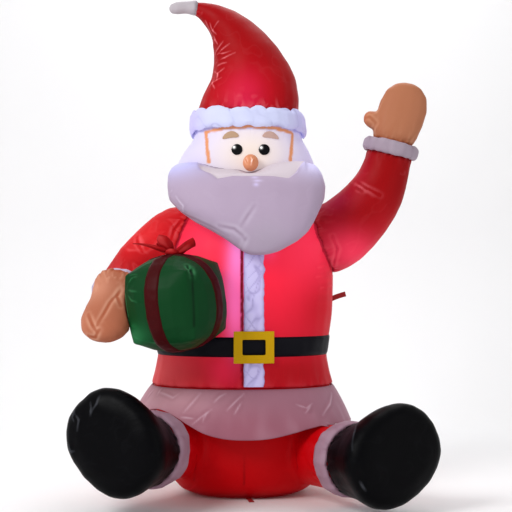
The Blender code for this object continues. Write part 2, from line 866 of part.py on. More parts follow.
def make_sleeve_cuff(name, spine, sleeve):
    end, axis = sleeve_end(spine)
    inner = widest(sleeve, end, axis, SLEEVE_CUFF_WIDTH) + SEAM_GAP
    return make_cuff(name, end, axis, inner, SLEEVE_CUFF_WIDTH, SLEEVE_CUFF_THICKNESS, "white")


def lobe(name, origin, rows, directions, side, bend_length):
    """A padded lobe along rows, that turns from its first direction to its second one."""
    start, final = directions
    rings = []
    for distance, shift, half_width, half_thick in rows:
        bent = min(distance * UNIT, bend_length)
        place = origin + final * (distance * UNIT)
        place += (start - final) * (bent - bent**2 / (2 * bend_length))
        along = (final + (start - final) * (1 - bent / bend_length)).normalized()
        across = (side - along * side.dot(along)).normalized()
        centre = place + across * (shift * UNIT)
        through = along.cross(across)
        rings.append(
            oval(
                centre,
                across,
                through,
                half_width * UNIT,
                half_thick * UNIT,
                HAND_POWER,
                HAND_SIDES,
            )
        )
    return skin(name, rings, "skin")


def mitten(name, wrist, directions, thumbward, thumb_turn, thumb_start):
    """A mitten from its wrist: a flat padded hand with a thumb on the thumbward side."""
    along = directions[1]
    hand = lobe(name, wrist, MITTEN_ROWS, directions, thumbward, WRIST_BEND)
    turn = math.radians(thumb_turn)
    thumb_axis = along * math.cos(turn) + thumbward * math.sin(turn)
    thumb_side = thumbward * math.cos(turn) - along * math.sin(turn)
    root = wrist + along * (thumb_start * UNIT) + thumbward * (1.0 * UNIT)
    thumb = lobe("thumb", root, THUMB_ROWS, (thumb_axis, thumb_axis), thumb_side, WRIST_BEND)
    return joined(hand, thumb)


def make_mittens(sleeve, cuff, box, ribbon):
    """The raised hand, and the hand that hangs against the gift's side."""
    end, axis = sleeve_end(WAVING_SPINE)
    thumbward = (axis * axis.x - RIGHT).normalized()
    wrist = end + axis * SEAM_GAP
    thumb = (WAVING_THUMB_TURN, WAVING_THUMB_START)
    mitten("waving_mitten", wrist, (axis, axis), thumbward, *thumb)
    end, axis = sleeve_end(CARRYING_SPINE)
    along = CARRYING_HAND_AXIS
    thumbward = (RIGHT - along * along.x).normalized()
    wrist = end + axis * SEAM_GAP
    thumb = (CARRYING_THUMB_TURN, CARRYING_THUMB_START)
    hand = mitten("carrying_mitten", wrist, (axis, along), thumbward, *thumb)
    fit(hand, sleeve, cuff, box, ribbon, gap=2 * SEAM_GAP)
    keep_largest_body(hand)


# Gift

def gift_matrix():
    lean = Matrix.Rotation(GIFT_LEAN_FRONT, 4, "X") @ Matrix.Rotation(GIFT_LEAN_RIGHT, 4, "Y")
    turn = Matrix.Rotation(GIFT_TURN, 4, "Z")
    return Matrix.Translation(unit(*GIFT_CENTRE)) @ lean @ turn


def gift_grid():
    """The shared cuts across each side of the gift, from -1 to 1, with the ribbon's edges."""
    cuts = (RIBBON_WIDTH / GIFT_SIDE, *GIFT_CUTS)
    return sorted([-cut for cut in cuts] + list(cuts))


def puffed(point):
    """A point of the cube from -1 to 1, moved to the inflated box's surface, in metres."""
    u, v, w = point
    across, deep, tall = (1 - abs(c) ** GIFT_PUFF_POWER for c in point)
    bulge_x = GIFT_BULGE * deep * tall
    bulge_y = GIFT_BULGE * across * tall
    bulge_z = GIFT_BULGE * across * deep
    round_off = 1 - GIFT_ROUND_OFF * (abs(u * v) ** 3 + abs(v * w) ** 3 + abs(u * w) ** 3)
    x = u * GIFT_SIDE / 2 + math.copysign(bulge_x, u) * abs(u) ** 3
    y = v * GIFT_SIDE / 2 + math.copysign(bulge_y, v) * abs(v) ** 3
    z = w * GIFT_TALL / 2 + math.copysign(bulge_z, w) * abs(w) ** 3
    return Vector((x, y, z)) * round_off


def gift_surface(keep):
    """The faces of the puffed box whose cells keep() accepts, in a bmesh."""
    cuts = gift_grid()
    mesh = bmesh.new()
    made = {}

    def corner(point):
        key = tuple(round(c, 6) for c in point)
        if key not in made:
            made[key] = mesh.verts.new(puffed(point))
        return made[key]

    for axis in range(3):
        for side in (-1, 1):
            for a0, a1 in zip(cuts, cuts[1:]):
                for b0, b1 in zip(cuts, cuts[1:]):
                    cell = []
                    for a, b in ((a0, b0), (a1, b0), (a1, b1), (a0, b1)):
                        point = [a, b]
                        point.insert(axis, side)
                        cell.append(point)
                    if keep([sum(p[i] for p in cell) / 4 for i in range(3)]):
                        mesh.faces.new([corner(p) for p in cell])
    bmesh.ops.recalc_face_normals(mesh, faces=mesh.faces)
    return mesh


def make_gift():
    box = finished("gift_box", gift_surface(lambda middle: True), "green")
    box.data.transform(gift_matrix())
    edge = RIBBON_WIDTH / GIFT_SIDE
    band = gift_surface(lambda middle: abs(middle[0]) < edge or abs(middle[1]) < edge)
    band.normal_update()
    out = [(v, v.co + v.normal * SEAM_GAP) for v in band.verts]
    if sum(v.normal.dot(v.co) for v in band.verts) < 0:
        bmesh.ops.reverse_faces(band, faces=band.faces)
        out = [(v, v.co + v.normal * SEAM_GAP) for v in band.verts]
    for vertex, place in out:
        vertex.co = place
    band.transform(gift_matrix())
    ribbon = thickened("gift_ribbon", band, RIBBON_THICKNESS, "ribbon")
    return box, ribbon


def strip(name, points, side, width, thickness, colour, ends="capped"):
    """A flat strap along points, width across side."""
    rings = []
    last = len(points) - 1
    for k, point in enumerate(points):
        if ends == "joined":
            ahead, behind = points[(k + 1) % len(points)], points[k - 1]
        else:
            ahead, behind = points[min(k + 1, last)], points[max(k - 1, 0)]
        along = (ahead - behind).normalized()
        normal = along.cross(side).normalized() * (thickness / 2)
        left, right = point - side * (width / 2), point + side * (width / 2)
        rings.append([left - normal, right - normal, right + normal, left + normal])
    return skin(name, rings, colour, ends)


def bow_loop(base, out, lifted, side, length):
    points = []
    for k in range(7):
        a = 2 * math.pi * k / 6
        reach = length * (1 - math.cos(a)) / 2
        swell = BOW_LOOP_HEIGHT * math.sin(a) * (1 - math.cos(a)) / 2
        swell += BOW_LOOP_OPEN * math.cos(a / 2)
        points.append(base + out * (reach * UNIT) + lifted * (swell * UNIT))
    return strip("loop", points, side, BOW_STRIP_WIDTH, STRAP_THICKNESS, "ribbon")


def bow_tail(base, out, lifted, side, length):
    points = []
    for k in range(4):
        reach = length * k / 3
        droop = BOW_TAIL_DROOP * math.sin(math.pi * k / 3)
        points.append(base + out * (reach * UNIT) + lifted * (droop * UNIT))
    return strip("tail", points, side, BOW_TAIL_WIDTH, STRAP_THICKNESS, "ribbon")


def make_bow(box, ribbon):
    """Knot, two loops and two tails on top of the box."""
    top = gift_matrix() @ Vector((0, 0, GIFT_TALL / 2 + GIFT_BULGE))
    base = top + UP * (RIBBON_THICKNESS + BOW_KNOT_RISE * UNIT)
    bpy.ops.mesh.primitive_uv_sphere_add(segments=8, ring_count=5, radius=BOW_KNOT_RADIUS * UNIT)
    knot = bpy.context.object
    knot.name = knot.data.name = "gift_bow"
    knot.data.transform(Matrix.Diagonal((1, 1, BOW_KNOT_FLAT, 1)))
    knot.data.transform(Matrix.Translation(base))
    knot = adopted(knot, "ribbon")
    others = []
    for heading, lift, length, kind in BOW_PARTS:
        way = Matrix.Rotation(math.radians(heading), 3, "Z") @ RIGHT
        rise = math.radians(lift)
        out = way * math.cos(rise) + UP * math.sin(rise)
        side = UP.cross(way).normalized()
        lifted = out.cross(side).normalized()
        shape = bow_loop if kind == "loop" else bow_tail
        others.append(shape(base, out, lifted, side, length))
    joined(knot, *others)
    fit(knot, box, ribbon)


# Straps and blower

def make_side_straps(jacket):
    """A tether tab at each side of the jacket, standing out from its seam."""
    x, y, half_width, _ = on_curve(JACKET_ROWS, SIDE_STRAP_HEIGHT)
    length = SIDE_STRAP_LENGTH + SIDE_STRAP_ROOT * UNIT
    for side, name in ((1, "left"), (-1, "right")):
        root = unit(x + side * (half_width - SIDE_STRAP_ROOT), y + SIDE_STRAP_BACK, SIDE_STRAP_HEIGHT)
        reach = Vector((side * math.cos(SIDE_STRAP_RISE), 0, math.sin(SIDE_STRAP_RISE)))
        points = []
        for k in range(4):
            sag = SIDE_STRAP_SAG * (1 - k / 3) ** 2
            points.append(root + reach * (length * k / 3) - UP * sag)
        lying = reach.cross(FORWARD).normalized()
        tab = strip("tether_tab_" + name, points, lying, STRAP_WIDTH, STRAP_THICKNESS, "strap")
        fit(tab, jacket)


def make_floor_straps(trousers):
    """A tether tab at the front and at the back of the seat, lying on the floor."""
    _, y, _, half_depth = on_curve(TROUSERS_ROWS, 0.0)
    length = FLOOR_STRAP_LENGTH + FLOOR_STRAP_ROOT * UNIT
    for facing, name in ((-1, "front"), (1, "back")):
        edge = (y + facing * (half_depth - FLOOR_STRAP_ROOT)) * UNIT
        root = Vector((FLOOR_STRAP_X, edge, STRAP_THICKNESS / 2 + SEAM_GAP))
        reach = Vector((FLOOR_STRAP_TURN, facing, 0)).normalized()
        points = [root + reach * (length * k / 3) for k in range(4)]
        lying = reach.cross(UP)
        tab = strip("tether_tab_" + name, points, lying, STRAP_WIDTH, STRAP_THICKNESS, "strap")
        fit(tab, trousers)


def turned(name, profile, centre, axis, colour, sides):
    """A solid turned about an axis from its profile's (radius, distance) points."""
    data = bpy.data.meshes.new(name)
    edges = [(k, k + 1) for k in range(len(profile) - 1)]
    data.from_pydata([(radius, 0, distance) for radius, distance in profile], edges, [])
    turning = bpy.data.objects.new(name, data)
    FIGURE.objects.link(turning)
    screw = turning.modifiers.new("turned", "SCREW")
    screw.axis = "Z"
    screw.steps = screw.render_steps = sides
    screw.use_merge_vertices = True
    screw.merge_threshold = WELD
    bpy.context.view_layer.update()
    graph = bpy.context.evaluated_depsgraph_get()
    mesh = bmesh.new()
    mesh.from_mesh(turning.evaluated_get(graph).to_mesh())
    bpy.data.objects.remove(turning)
    bmesh.ops.remove_doubles(mesh, verts=mesh.verts, dist=WELD)
    bmesh.ops.recalc_face_normals(mesh, faces=mesh.faces)
    turn = UP.rotation_difference(axis).to_matrix().to_4x4()
    mesh.transform(Matrix.Translation(centre) @ turn)
    return finished(name, mesh, colour)


def make_blower(trousers):
    """The fan in the seat's back: a recessed drum, its barred intake and the cord's gland."""
    x, y, _, half_depth = on_curve(TROUSERS_ROWS, BLOWER_HEIGHT)
    face = unit(x, y + half_depth, BLOWER_HEIGHT) + Vector((0, BLOWER_PROUD, 0))
    rim = BLOWER_RADIUS - BLOWER_RIM
    profile = (
        (0, -BLOWER_RECESS),
        (rim, -BLOWER_RECESS),
        (rim, 0),
        (BLOWER_RADIUS - BLOWER_BEVEL, 0),
        (BLOWER_RADIUS, -BLOWER_BEVEL),
        (BLOWER_RADIUS, -BLOWER_DEPTH),
        (0, -BLOWER_DEPTH),
    )
    drum = turned("blower", profile, face, -FORWARD, "plastic", BLOWER_SIDES)
    fit(trousers, drum)
    make_grille(face, rim - SEAM_GAP)
    make_gland(trousers, x)


def make_grille(face, hoop):
    """A hoop with level bars across it."""
    inner = hoop - GRILLE_HOOP_WIDTH
    profile = (
        (inner, GRILLE_HOOP_FRONT),
        (hoop, GRILLE_HOOP_FRONT),
        (hoop, -GRILLE_HOOP_BACK),
        (inner, -GRILLE_HOOP_BACK),
        (inner, GRILLE_HOOP_FRONT),
    )
    grille = turned("blower_grille", profile, face, -FORWARD, "plastic", BLOWER_SIDES)
    middle = (GRILLE_HOOP_FRONT - GRILLE_HOOP_BACK) / 2
    reach = hoop - GRILLE_HOOP_WIDTH / 2
    for k in range(GRILLE_BARS):
        offset = (k - (GRILLE_BARS - 1) / 2) * 2 * (inner + SEAM_GAP) / GRILLE_BARS
        length = 2 * math.sqrt(reach**2 - offset**2)
        bpy.ops.mesh.primitive_cube_add(size=1)
        bar = bpy.context.object
        bar.data.transform(Matrix.Diagonal((length, GRILLE_BAR_DEPTH, GRILLE_BAR_WIDTH, 1)))
        bar.data.transform(Matrix.Translation(face + Vector((0, middle, offset))))
        joined(grille, adopted(bar, "plastic"))


def make_gland(trousers, middle):
    """The cord's inlet, square to the seat beside the fan."""
    aside, height = GLAND_PLACE
    tree = BVHTree.FromObject(trousers, bpy.context.evaluated_depsgraph_get())
    start = unit(middle + aside, 0, height) - FORWARD
    hit, normal, _, _ = tree.ray_cast(start, FORWARD)
    profile = (
        (0, GLAND_LENGTH),
        (GLAND_RADIUS * GLAND_TIP, GLAND_LENGTH),
        (GLAND_RADIUS * GLAND_NECK, GLAND_COLLAR),
        (GLAND_RADIUS, GLAND_COLLAR),
        (GLAND_RADIUS, -GLAND_ROOT),
        (0, -GLAND_ROOT),
    )
    gland = turned("cord_gland", profile, hit, normal, "plastic", GLAND_SIDES)
    fit(trousers, gland)


# Boots

def make_boot(name, leg):
    rings = []
    for distance, shift, half_long, half_wide in BOOT_ROWS:
        centre = leg.end + leg.axis * (distance * UNIT + SEAM_GAP) + leg.toe * (shift * UNIT)
        sizes = (half_long * UNIT, half_wide * UNIT)
        rings.append(oval(centre, leg.toe, leg.instep, *sizes, BOOT_POWER, BOOT_SIDES))
    return skin(name, rings, "black")


# Colours

def fabric(name, colour, roughness):
    made = bpy.data.materials.new(name)
    made.use_nodes = True
    shader = made.node_tree.nodes["Principled BSDF"]
    shader.inputs["Base Color"].default_value = (*colour, 1)
    shader.inputs["Roughness"].default_value = roughness
    return made


def build():
    trousers = make_trousers()
    jacket = make_jacket()
    head = make_head()
    belt = make_belt()
    make_plackets()
    make_buckle()
    make_hat()
    make_hat_band()
    make_face()

    waving = make_sleeve("waving_sleeve", WAVING_SPINE, jacket)
    carrying = make_sleeve("carrying_sleeve", CARRYING_SPINE, jacket)
    make_sleeve_cuff("waving_cuff", WAVING_SPINE, waving)
    cuff = make_sleeve_cuff("carrying_cuff", CARRYING_SPINE, carrying)

    box, ribbon = make_gift()
    fit(box, jacket, belt, carrying)
    fit(ribbon, jacket, belt, carrying)
    fit(cuff, box, ribbon)
    make_bow(box, ribbon)
    make_mittens(carrying, cuff, box, ribbon)

    for name, leg in LEGS.items():
        make_boot("boot_" + name, leg)
        make_cuff(
            "boot_cuff_" + name,
            leg.end,
            leg.axis,
            LEG_RADIUS * UNIT + SEAM_GAP,
            BOOT_CUFF_WIDTH,
            BOOT_CUFF_THICKNESS,
            "white",
        )

    cuffs = [bpy.data.objects["boot_cuff_" + name] for name in LEGS]
    fit(make_hem(), trousers, *cuffs)
    beard = make_beard()
    fit(beard, head, jacket, bpy.data.objects["placket_upper"], waving, carrying)
    fit(make_nose(), head, beard)

    make_side_straps(jacket)
    make_floor_straps(trousers)
    make_blower(trousers)


for old in list(bpy.data.objects):
    bpy.data.objects.remove(old)

FIGURE = bpy.data.collections.new("inflatable_santa")
CUTTERS = bpy.data.collections.new("cutters")
bpy.context.scene.collection.children.link(FIGURE)
bpy.context.scene.collection.children.link(CUTTERS)
CUTTERS.hide_render = True

FABRICS = {
    "red": fabric("red nylon", (0.62, 0.015, 0.025), 0.5),
    "white": fabric("white nylon", (0.80, 0.80, 0.90), 0.55),
    "beard": fabric("beard nylon", (0.53, 0.42, 0.56), 0.55),
    "hem": fabric("sheer white nylon", (0.45, 0.26, 0.30), 0.5),
    "black": fabric("black nylon", (0.006, 0.006, 0.007), 0.5),
    "skin": fabric("skin nylon", (0.48, 0.22, 0.14), 0.5),
    "green": fabric("green nylon", (0.01, 0.12, 0.03), 0.45),
    "ribbon": fabric("dark red ribbon", (0.22, 0.008, 0.015), 0.45),
    "gold": fabric("gold felt", (0.60, 0.38, 0.02), 0.6),
    "tan": fabric("tan print", (0.60, 0.42, 0.33), 0.6),
    "strap": fabric("red webbing", (0.30, 0.004, 0.008), 0.7),
    "plastic": fabric("black plastic", (0.012, 0.012, 0.013), 0.4),
}

build()
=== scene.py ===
"""The visible inflatable santa: puffed nylon bags, sewn seams, lamp glow and a plain studio."""

import logging
import math
from dataclasses import dataclass, field
from enum import Enum

import bmesh
import bpy
import numpy as np
from mathutils import Matrix, Vector, kdtree, noise
from mathutils.bvhtree import BVHTree


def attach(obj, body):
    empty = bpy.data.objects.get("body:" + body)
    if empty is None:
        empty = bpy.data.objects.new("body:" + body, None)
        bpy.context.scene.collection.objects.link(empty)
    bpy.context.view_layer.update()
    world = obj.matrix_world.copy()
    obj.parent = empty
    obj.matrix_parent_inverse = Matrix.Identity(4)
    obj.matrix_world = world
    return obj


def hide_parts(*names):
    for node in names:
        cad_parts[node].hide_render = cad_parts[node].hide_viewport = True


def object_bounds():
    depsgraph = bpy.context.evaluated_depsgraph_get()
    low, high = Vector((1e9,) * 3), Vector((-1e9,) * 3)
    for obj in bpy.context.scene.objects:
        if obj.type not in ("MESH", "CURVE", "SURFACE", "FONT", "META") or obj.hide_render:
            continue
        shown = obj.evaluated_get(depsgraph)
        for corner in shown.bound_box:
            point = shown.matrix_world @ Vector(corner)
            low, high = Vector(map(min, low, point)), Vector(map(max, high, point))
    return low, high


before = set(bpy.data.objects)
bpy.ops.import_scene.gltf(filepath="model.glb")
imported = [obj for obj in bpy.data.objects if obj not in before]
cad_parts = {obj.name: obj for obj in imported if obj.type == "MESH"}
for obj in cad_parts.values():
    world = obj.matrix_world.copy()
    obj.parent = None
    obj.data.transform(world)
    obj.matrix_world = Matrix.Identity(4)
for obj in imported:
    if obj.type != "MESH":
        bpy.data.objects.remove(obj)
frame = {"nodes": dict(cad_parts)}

log = logging.getLogger("santa")

Place = tuple[float, float, float]
Colour = tuple[int, int, int]
Path = tuple[Place, ...]
Line = tuple[tuple[float, float], ...]
Edges = tuple[np.ndarray, np.ndarray, np.ndarray]

# Places and fold sizes are in units of 10 mm, as the model's proportions are. Meshes are in metres, and so
# are FAR, past which a bag takes no notice of its neighbour, and TOUCHING, where the two are sewn together.
LOW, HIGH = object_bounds()
TALL = 119.68
UNIT = HIGH.z / TALL
BODY = "root"
FAR = 0.08
TOUCHING = 0.0035
BLACK = (0, 0, 0)


# Mesh arrays


def coordinates(mesh: bpy.types.Mesh, kind: str = "co") -> np.ndarray:
    """The mesh's vertex places, or its vertex normals, as an (n, 3) array.

    Args:
        mesh: the mesh.
        kind: "co" for places, "normal" for normals.

    Returns:
        The array, in metres.
    """
    flat = np.empty(len(mesh.vertices) * 3)
    mesh.vertices.foreach_get(kind, flat)
    return flat.reshape(-1, 3)


def move_to(mesh: bpy.types.Mesh, places: np.ndarray) -> None:
    """Puts the mesh's vertices at new places."""
    mesh.vertices.foreach_set("co", places.ravel())
    mesh.update()


def paint(mesh: bpy.types.Mesh, name: str, values: np.ndarray) -> None:
    """Stores one number per vertex, which a material reads by name."""
    layer = mesh.attributes.get(name) or mesh.attributes.new(name, "FLOAT", "POINT")
    layer.data.foreach_set("value", values.astype(np.float32))


def links(mesh: bpy.types.Mesh) -> Edges:
    """Both ends of every edge, and each vertex's number of edges."""
    ends = np.empty(len(mesh.edges) * 2, dtype=np.int32)
    mesh.edges.foreach_get("vertices", ends)
    first, second = ends.reshape(-1, 2).T
    degree = np.bincount(ends, minlength=len(mesh.vertices)).reshape(-1, 1)
    return first, second, np.maximum(degree, 1)


def diffused(values: np.ndarray, edges: Edges, rounds: int, share: np.ndarray) -> np.ndarray:
    """Averages each vertex's values with its neighbours'.

    Args:
        values: an (n, k) array.
        edges: what links() gives.
        rounds: how many times.
        share: an (n, 1) array, how far each vertex goes towards the average each time.

    Returns:
        The smoothed values.
    """
    first, second, degree = edges
    smooth = values.copy()
    count = len(values)
    for _ in range(rounds):
        total = np.empty_like(smooth)
        for k in range(smooth.shape[1]):
            total[:, k] = np.bincount(first, smooth[second, k], count)
            total[:, k] += np.bincount(second, smooth[first, k], count)
        smooth += share * (total / degree - smooth)
    return smooth


def fade(values: np.ndarray, low: float, high: float) -> np.ndarray:
    """A smooth step from 0 at low to 1 at high."""
    share = np.clip((values - low) / (high - low), 0, 1)
    return share * share * (3 - 2 * share)


def grain(places: np.ndarray, size: float, seed: float = 0.0) -> np.ndarray:
    """Smooth noise from -1 to 1 at each place, with lumps of that size in the places' own unit."""
    shift = Vector((seed, seed * 1.7, seed * 2.3))
    return np.array([noise.noise(Vector(place) / size + shift) for place in places])


def puffs(places: np.ndarray, size: float, seed: float) -> np.ndarray:
    """Rounded swells with sharp valleys between them, from -1 to 0.6."""
    return 1.6 * np.minimum(2.4 * np.abs(grain(places, size, seed)), 1) ** 0.6 - 1


def tree_of(*pieces: bpy.types.Object) -> BVHTree:
    """One search tree of several pieces' meshes, which sit in the object's frame.

    Args:
        pieces: the pieces, each at the origin.

    Returns:
        The tree, in metres.
    """
    places: list[Vector] = []
    faces: list[tuple[int, ...]] = []
    for piece in pieces:
        start = len(places)
        places.extend(vertex.co.copy() for vertex in piece.data.vertices)
        faces.extend(tuple(start + i for i in face.vertices) for face in piece.data.polygons)
    return BVHTree.FromPolygons(places, faces)


def path_distance(places: np.ndarray, path: Path) -> tuple[np.ndarray, np.ndarray]:
    """How far places are from a line of points.

    Args:
        places: an (n, 3) array, in metres.
        path: the line's points, in units.

    Returns:
        Each place's distance, and how far along the line its nearest point lies, both in metres.
    """
    points = np.array(path) * UNIT
    best = np.full(len(places), np.inf)
    along = np.zeros(len(places))
    walked = 0.0
    for start, end in zip(points, points[1:]):
        way = end - start
        length = float(np.linalg.norm(way))
        share = np.clip((places - start) @ way / max(length * length, 1e-12), 0, 1)
        gap = np.linalg.norm(places - start - share[:, None] * way, axis=1)
        near = gap < best
        best[near] = gap[near]
        along[near] = walked + share[near] * length
        walked += length
    return best, along


# Folds and gathers


class FoldKind(Enum):
    """What a fold does to the cloth."""

    CREASE = "crease"
    RIDGE = "ridge"
    SEAM = "seam"
    STITCH = "stitch"


RIDGE = FoldKind.RIDGE


@dataclass(frozen=True)
class Fold:
    """A crease, a raised fold or a line of stitching, along places on a bag, with painted shade and painted
    highlights along creases, folds and seams.
    """

    path: Path
    depth: float = 0.2
    width: float = 0.9
    kind: FoldKind = FoldKind.CREASE
    light: float = 0.6

    def add(self, cloth: "Cloth") -> None:
        """Bends the cloth in a sharp line that dies away to both sides, and paints shade and highlights along
        it as its kind says.

        Args:
            cloth: the bag's surface.
        """
        gap, along = path_distance(cloth.places, self.path)
        width = self.width * UNIT
        length = float(along.max()) or 1.0
        ends = np.sin(np.pi * np.clip(along / length, 0.05, 0.95)) ** 0.6
        reach = np.exp(-gap / width)
        line = np.exp(-((gap / (0.3 * width)) ** 2))
        beside = np.exp(-(((gap - 0.8 * width) / (0.5 * width)) ** 2))
        depth = self.depth * UNIT
        if self.kind is FoldKind.STITCH:
            edge = width * (1 + 0.45 * grain(cloth.places, 1.1 * UNIT, 4.0))
            cloth.lift -= depth * reach
            cloth.stitch = np.maximum(cloth.stitch, 1 - fade(gap / edge, 0.5, 1.0))
        elif self.kind is FoldKind.SEAM:
            cloth.lift -= depth * reach
            # painted shade along the seam
            cloth.light -= self.light * line
        elif self.kind is FoldKind.CREASE:
            cloth.lift -= depth * reach * ends
            # painted shade in the crease, and a painted highlight beside it
            cloth.light += self.light * (0.35 * beside - line) * ends
        else:
            cloth.lift += depth * reach * ends
            # painted highlight on the ridge, and painted shade beside it
            cloth.light += self.light * (line - 0.3 * beside) * ends


@dataclass(frozen=True)
class Gather:
    """Puckers where a bag is sewn to its neighbours, with painted highlights and painted shade on them."""

    depth: float = 0.16
    reach: float = 1.7
    spacing: float = 1.3
    valley: float = 0.10
    light: float = 0.5


@dataclass
class Cloth:
    """A bag's surface while its folds are added: how far it moves, and what its material reads, painted
    highlights and painted shade among it.
    """

    mesh: bpy.types.Mesh
    places: np.ndarray
    outward: np.ndarray
    lift: np.ndarray
    # light: painted highlight, up to 1, and painted shade, down to -1, on folds and puckers.
    light: np.ndarray
    # seam: painted shade along where the bag is sewn to its neighbours.
    seam: np.ndarray
    stitch: np.ndarray
    # panel: where the beard's shelf gets its painted grey shade.
    panel: np.ndarray

    @classmethod
    def of(cls, mesh: bpy.types.Mesh) -> "Cloth":
        """Starts with a mesh's surface as it is."""
        count = len(mesh.vertices)
        rows = [np.zeros(count) for _ in range(5)]
        return cls(mesh, coordinates(mesh), coordinates(mesh, "normal"), *rows)

    def fold(self, folds: tuple[Fold, ...]) -> None:
        """Adds folds and stitching."""
        for one in folds:
            one.add(self)

    def gather(self, gather: Gather, distance: np.ndarray, seed: float) -> None:
        """Puckers the cloth away from where it is sewn to its neighbours, with painted highlights on the
        puckers, painted shade between them and painted shade along the seam.

        Args:
            gather: how deep and wide the puckers are.
            distance: how far each vertex is from the neighbours, in metres.
            seed: what the puckers start from.
        """
        touching = np.nonzero(distance < TOUCHING)[0]
        if not len(touching):
            return
        seam = kdtree.KDTree(len(touching))
        for k, index in enumerate(touching):
            seam.insert(self.places[index], k)
        seam.balance()
        limit = 3.2 * gather.reach * UNIT
        near = np.nonzero(distance < limit)[0]
        found = [seam.find(self.places[index]) for index in near]
        roots = np.array([hit[0] for hit in found])
        away = np.array([hit[2] for hit in found])
        reach = gather.reach * UNIT
        span = 0.35 + 1.6 * np.abs(grain(roots, 2.2 * gather.spacing * UNIT, seed + 9))
        shade = np.exp(-away / (reach * span))
        fan = 0.25 * (self.places[near] - roots)
        ripple = puffs(roots + fan, gather.spacing * UNIT, seed)
        edge = np.exp(-((away / (0.28 * UNIT)) ** 2))
        self.lift[near] += gather.depth * UNIT * ripple * shade - gather.valley * UNIT * edge
        # painted highlights on the puckers and painted shade between them
        self.light[near] += gather.light * ripple * shade
        # painted shade along the seam where the bag meets its neighbour
        self.seam[near] = np.maximum(self.seam[near], edge)

    def crumple(self, depth: float, size: float, seed: float, mask: np.ndarray) -> None:
        """Adds thin random creases, with painted shade in them and painted highlights beside them.

        Args:
            depth: how deep they are, in units.
            size: how far apart they are, in units.
            seed: what they start from.
            mask: how much of them each vertex gets, from 0 to 1.
        """
        chosen = np.nonzero(mask > 0.02)[0]
        places = self.places[chosen]
        level = grain(places, size * UNIT, seed)
        line = np.exp(-((level / 0.09) ** 2)) * np.clip(
            2.5 * grain(places, 1.7 * size * UNIT, seed + 5) + 0.2, 0, 1
        )
        bright = np.exp(-(((level - 0.16) / 0.08) ** 2)) * (line > 0)
        self.lift[chosen] += depth * UNIT * mask[chosen] * (np.abs(level) - 0.8 * line)
        # painted shade in the creases and painted highlights beside them
        self.light[chosen] += 2.5 * depth * mask[chosen] * (0.6 * bright - line)

    def ripple(self, depth: float, size: float, seed: float, light: float = 0.0) -> None:
        """Adds soft uneven swells, depth and size in units, with as much painted light and shade on them as
        light says.
        """
        swell = grain(self.places, size * UNIT, seed)
        self.lift += depth * UNIT * swell
        self.light += light * swell

    def finish(self) -> None:
        """Moves the surface and stores what the material reads, painted highlights and painted shade among
        it.
        """
        move_to(self.mesh, self.places + self.outward * self.lift[:, None])
        paint(self.mesh, "light", np.clip(self.light, -1, 1))
        for name in ("seam", "stitch", "panel"):
            paint(self.mesh, name, np.clip(getattr(self, name), 0, 1))


# Shader nodes


def linear(colour: Colour) -> tuple[float, float, float, float]:
    """A screen colour, 0 to 255 each, as a shader colour."""
    parts = [c / 255 for c in colour]
    parts = [c / 12.92 if c <= 0.04045 else ((c + 0.055) / 1.055) ** 2.4 for c in parts]
    return (*parts, 1.0)


class Graph:
    """Short calls for building a node tree."""

    def __init__(self, tree: bpy.types.NodeTree) -> None:
        """Takes the tree to build in."""
        self.tree = tree

    def add(self, kind: str, **settings: object) -> bpy.types.Node:
        """Adds a node and sets its properties."""
        node = self.tree.nodes.new(kind)
        for name, value in settings.items():
            setattr(node, name, value)
        return node

    def put(self, socket: bpy.types.NodeSocket, value: object) -> None:
        """Links an input to another socket, or sets its value."""
        if isinstance(value, bpy.types.NodeSocket):
            self.tree.links.new(value, socket)
        else:
            socket.default_value = value

    def set(self, node: bpy.types.Node, **values: object) -> bpy.types.Node:
        """Sets inputs by name, with _ for a space."""
        for name, value in values.items():
            self.put(node.inputs[name.replace("_", " ")], value)
        return node

    def maths(
        self, operation: str, *values: object, kind: str = "Math", result: int = 0
    ) -> bpy.types.NodeSocket:
        """A sum on numbers or vectors.

        Args:
            operation: the sum's name.
            values: what it works on.
            kind: Math or VectorMath.
            result: which output to take.

        Returns:
            The output.
        """
        node = self.add(f"ShaderNode{kind}", operation=operation)
        for socket, value in zip(node.inputs, values):
            self.put(socket, value)
        return node.outputs[result]

    def mix(self, share: object, first: object, second: object) -> bpy.types.NodeSocket:
        """A colour mix's result."""
        node = self.add("ShaderNodeMix", data_type="RGBA", blend_type="MIX")
        for index, value in ((0, share), (6, first), (7, second)):
            self.put(node.inputs[index], value)
        return node.outputs[2]

    def place(self) -> bpy.types.NodeSocket:
        """The place on the object."""
        return self.add("ShaderNodeTexCoord").outputs["Object"]

    def noise(self, place: bpy.types.NodeSocket, scale: float, detail: float = 2.0) -> bpy.types.NodeSocket:
        """A noise texture's value."""
        node = self.add("ShaderNodeTexNoise")
        self.set(node, Vector=place, Scale=scale, Detail=detail)
        return node.outputs["Fac"]


def new_group(name: str, inputs: dict[str, tuple[str, object]], outputs: dict[str, str]) -> tuple:
    """A node group with named sockets.

    Args:
        name: the group's name.
        inputs: each input's kind and first value.
        outputs: each output's kind.

    Returns:
        The group, its graph, its input node and its output node.
    """
    tree = bpy.data.node_groups.new(name, "ShaderNodeTree")
    for label, (kind, value) in inputs.items():
        socket = tree.interface.new_socket(label, in_out="INPUT", socket_type=f"NodeSocket{kind}")
        socket.default_value = value
    for label, kind in outputs.items():
        tree.interface.new_socket(label, in_out="OUTPUT", socket_type=f"NodeSocket{kind}")
    graph = Graph(tree)
    return tree, graph, graph.add("NodeGroupInput"), graph.add("NodeGroupOutput")


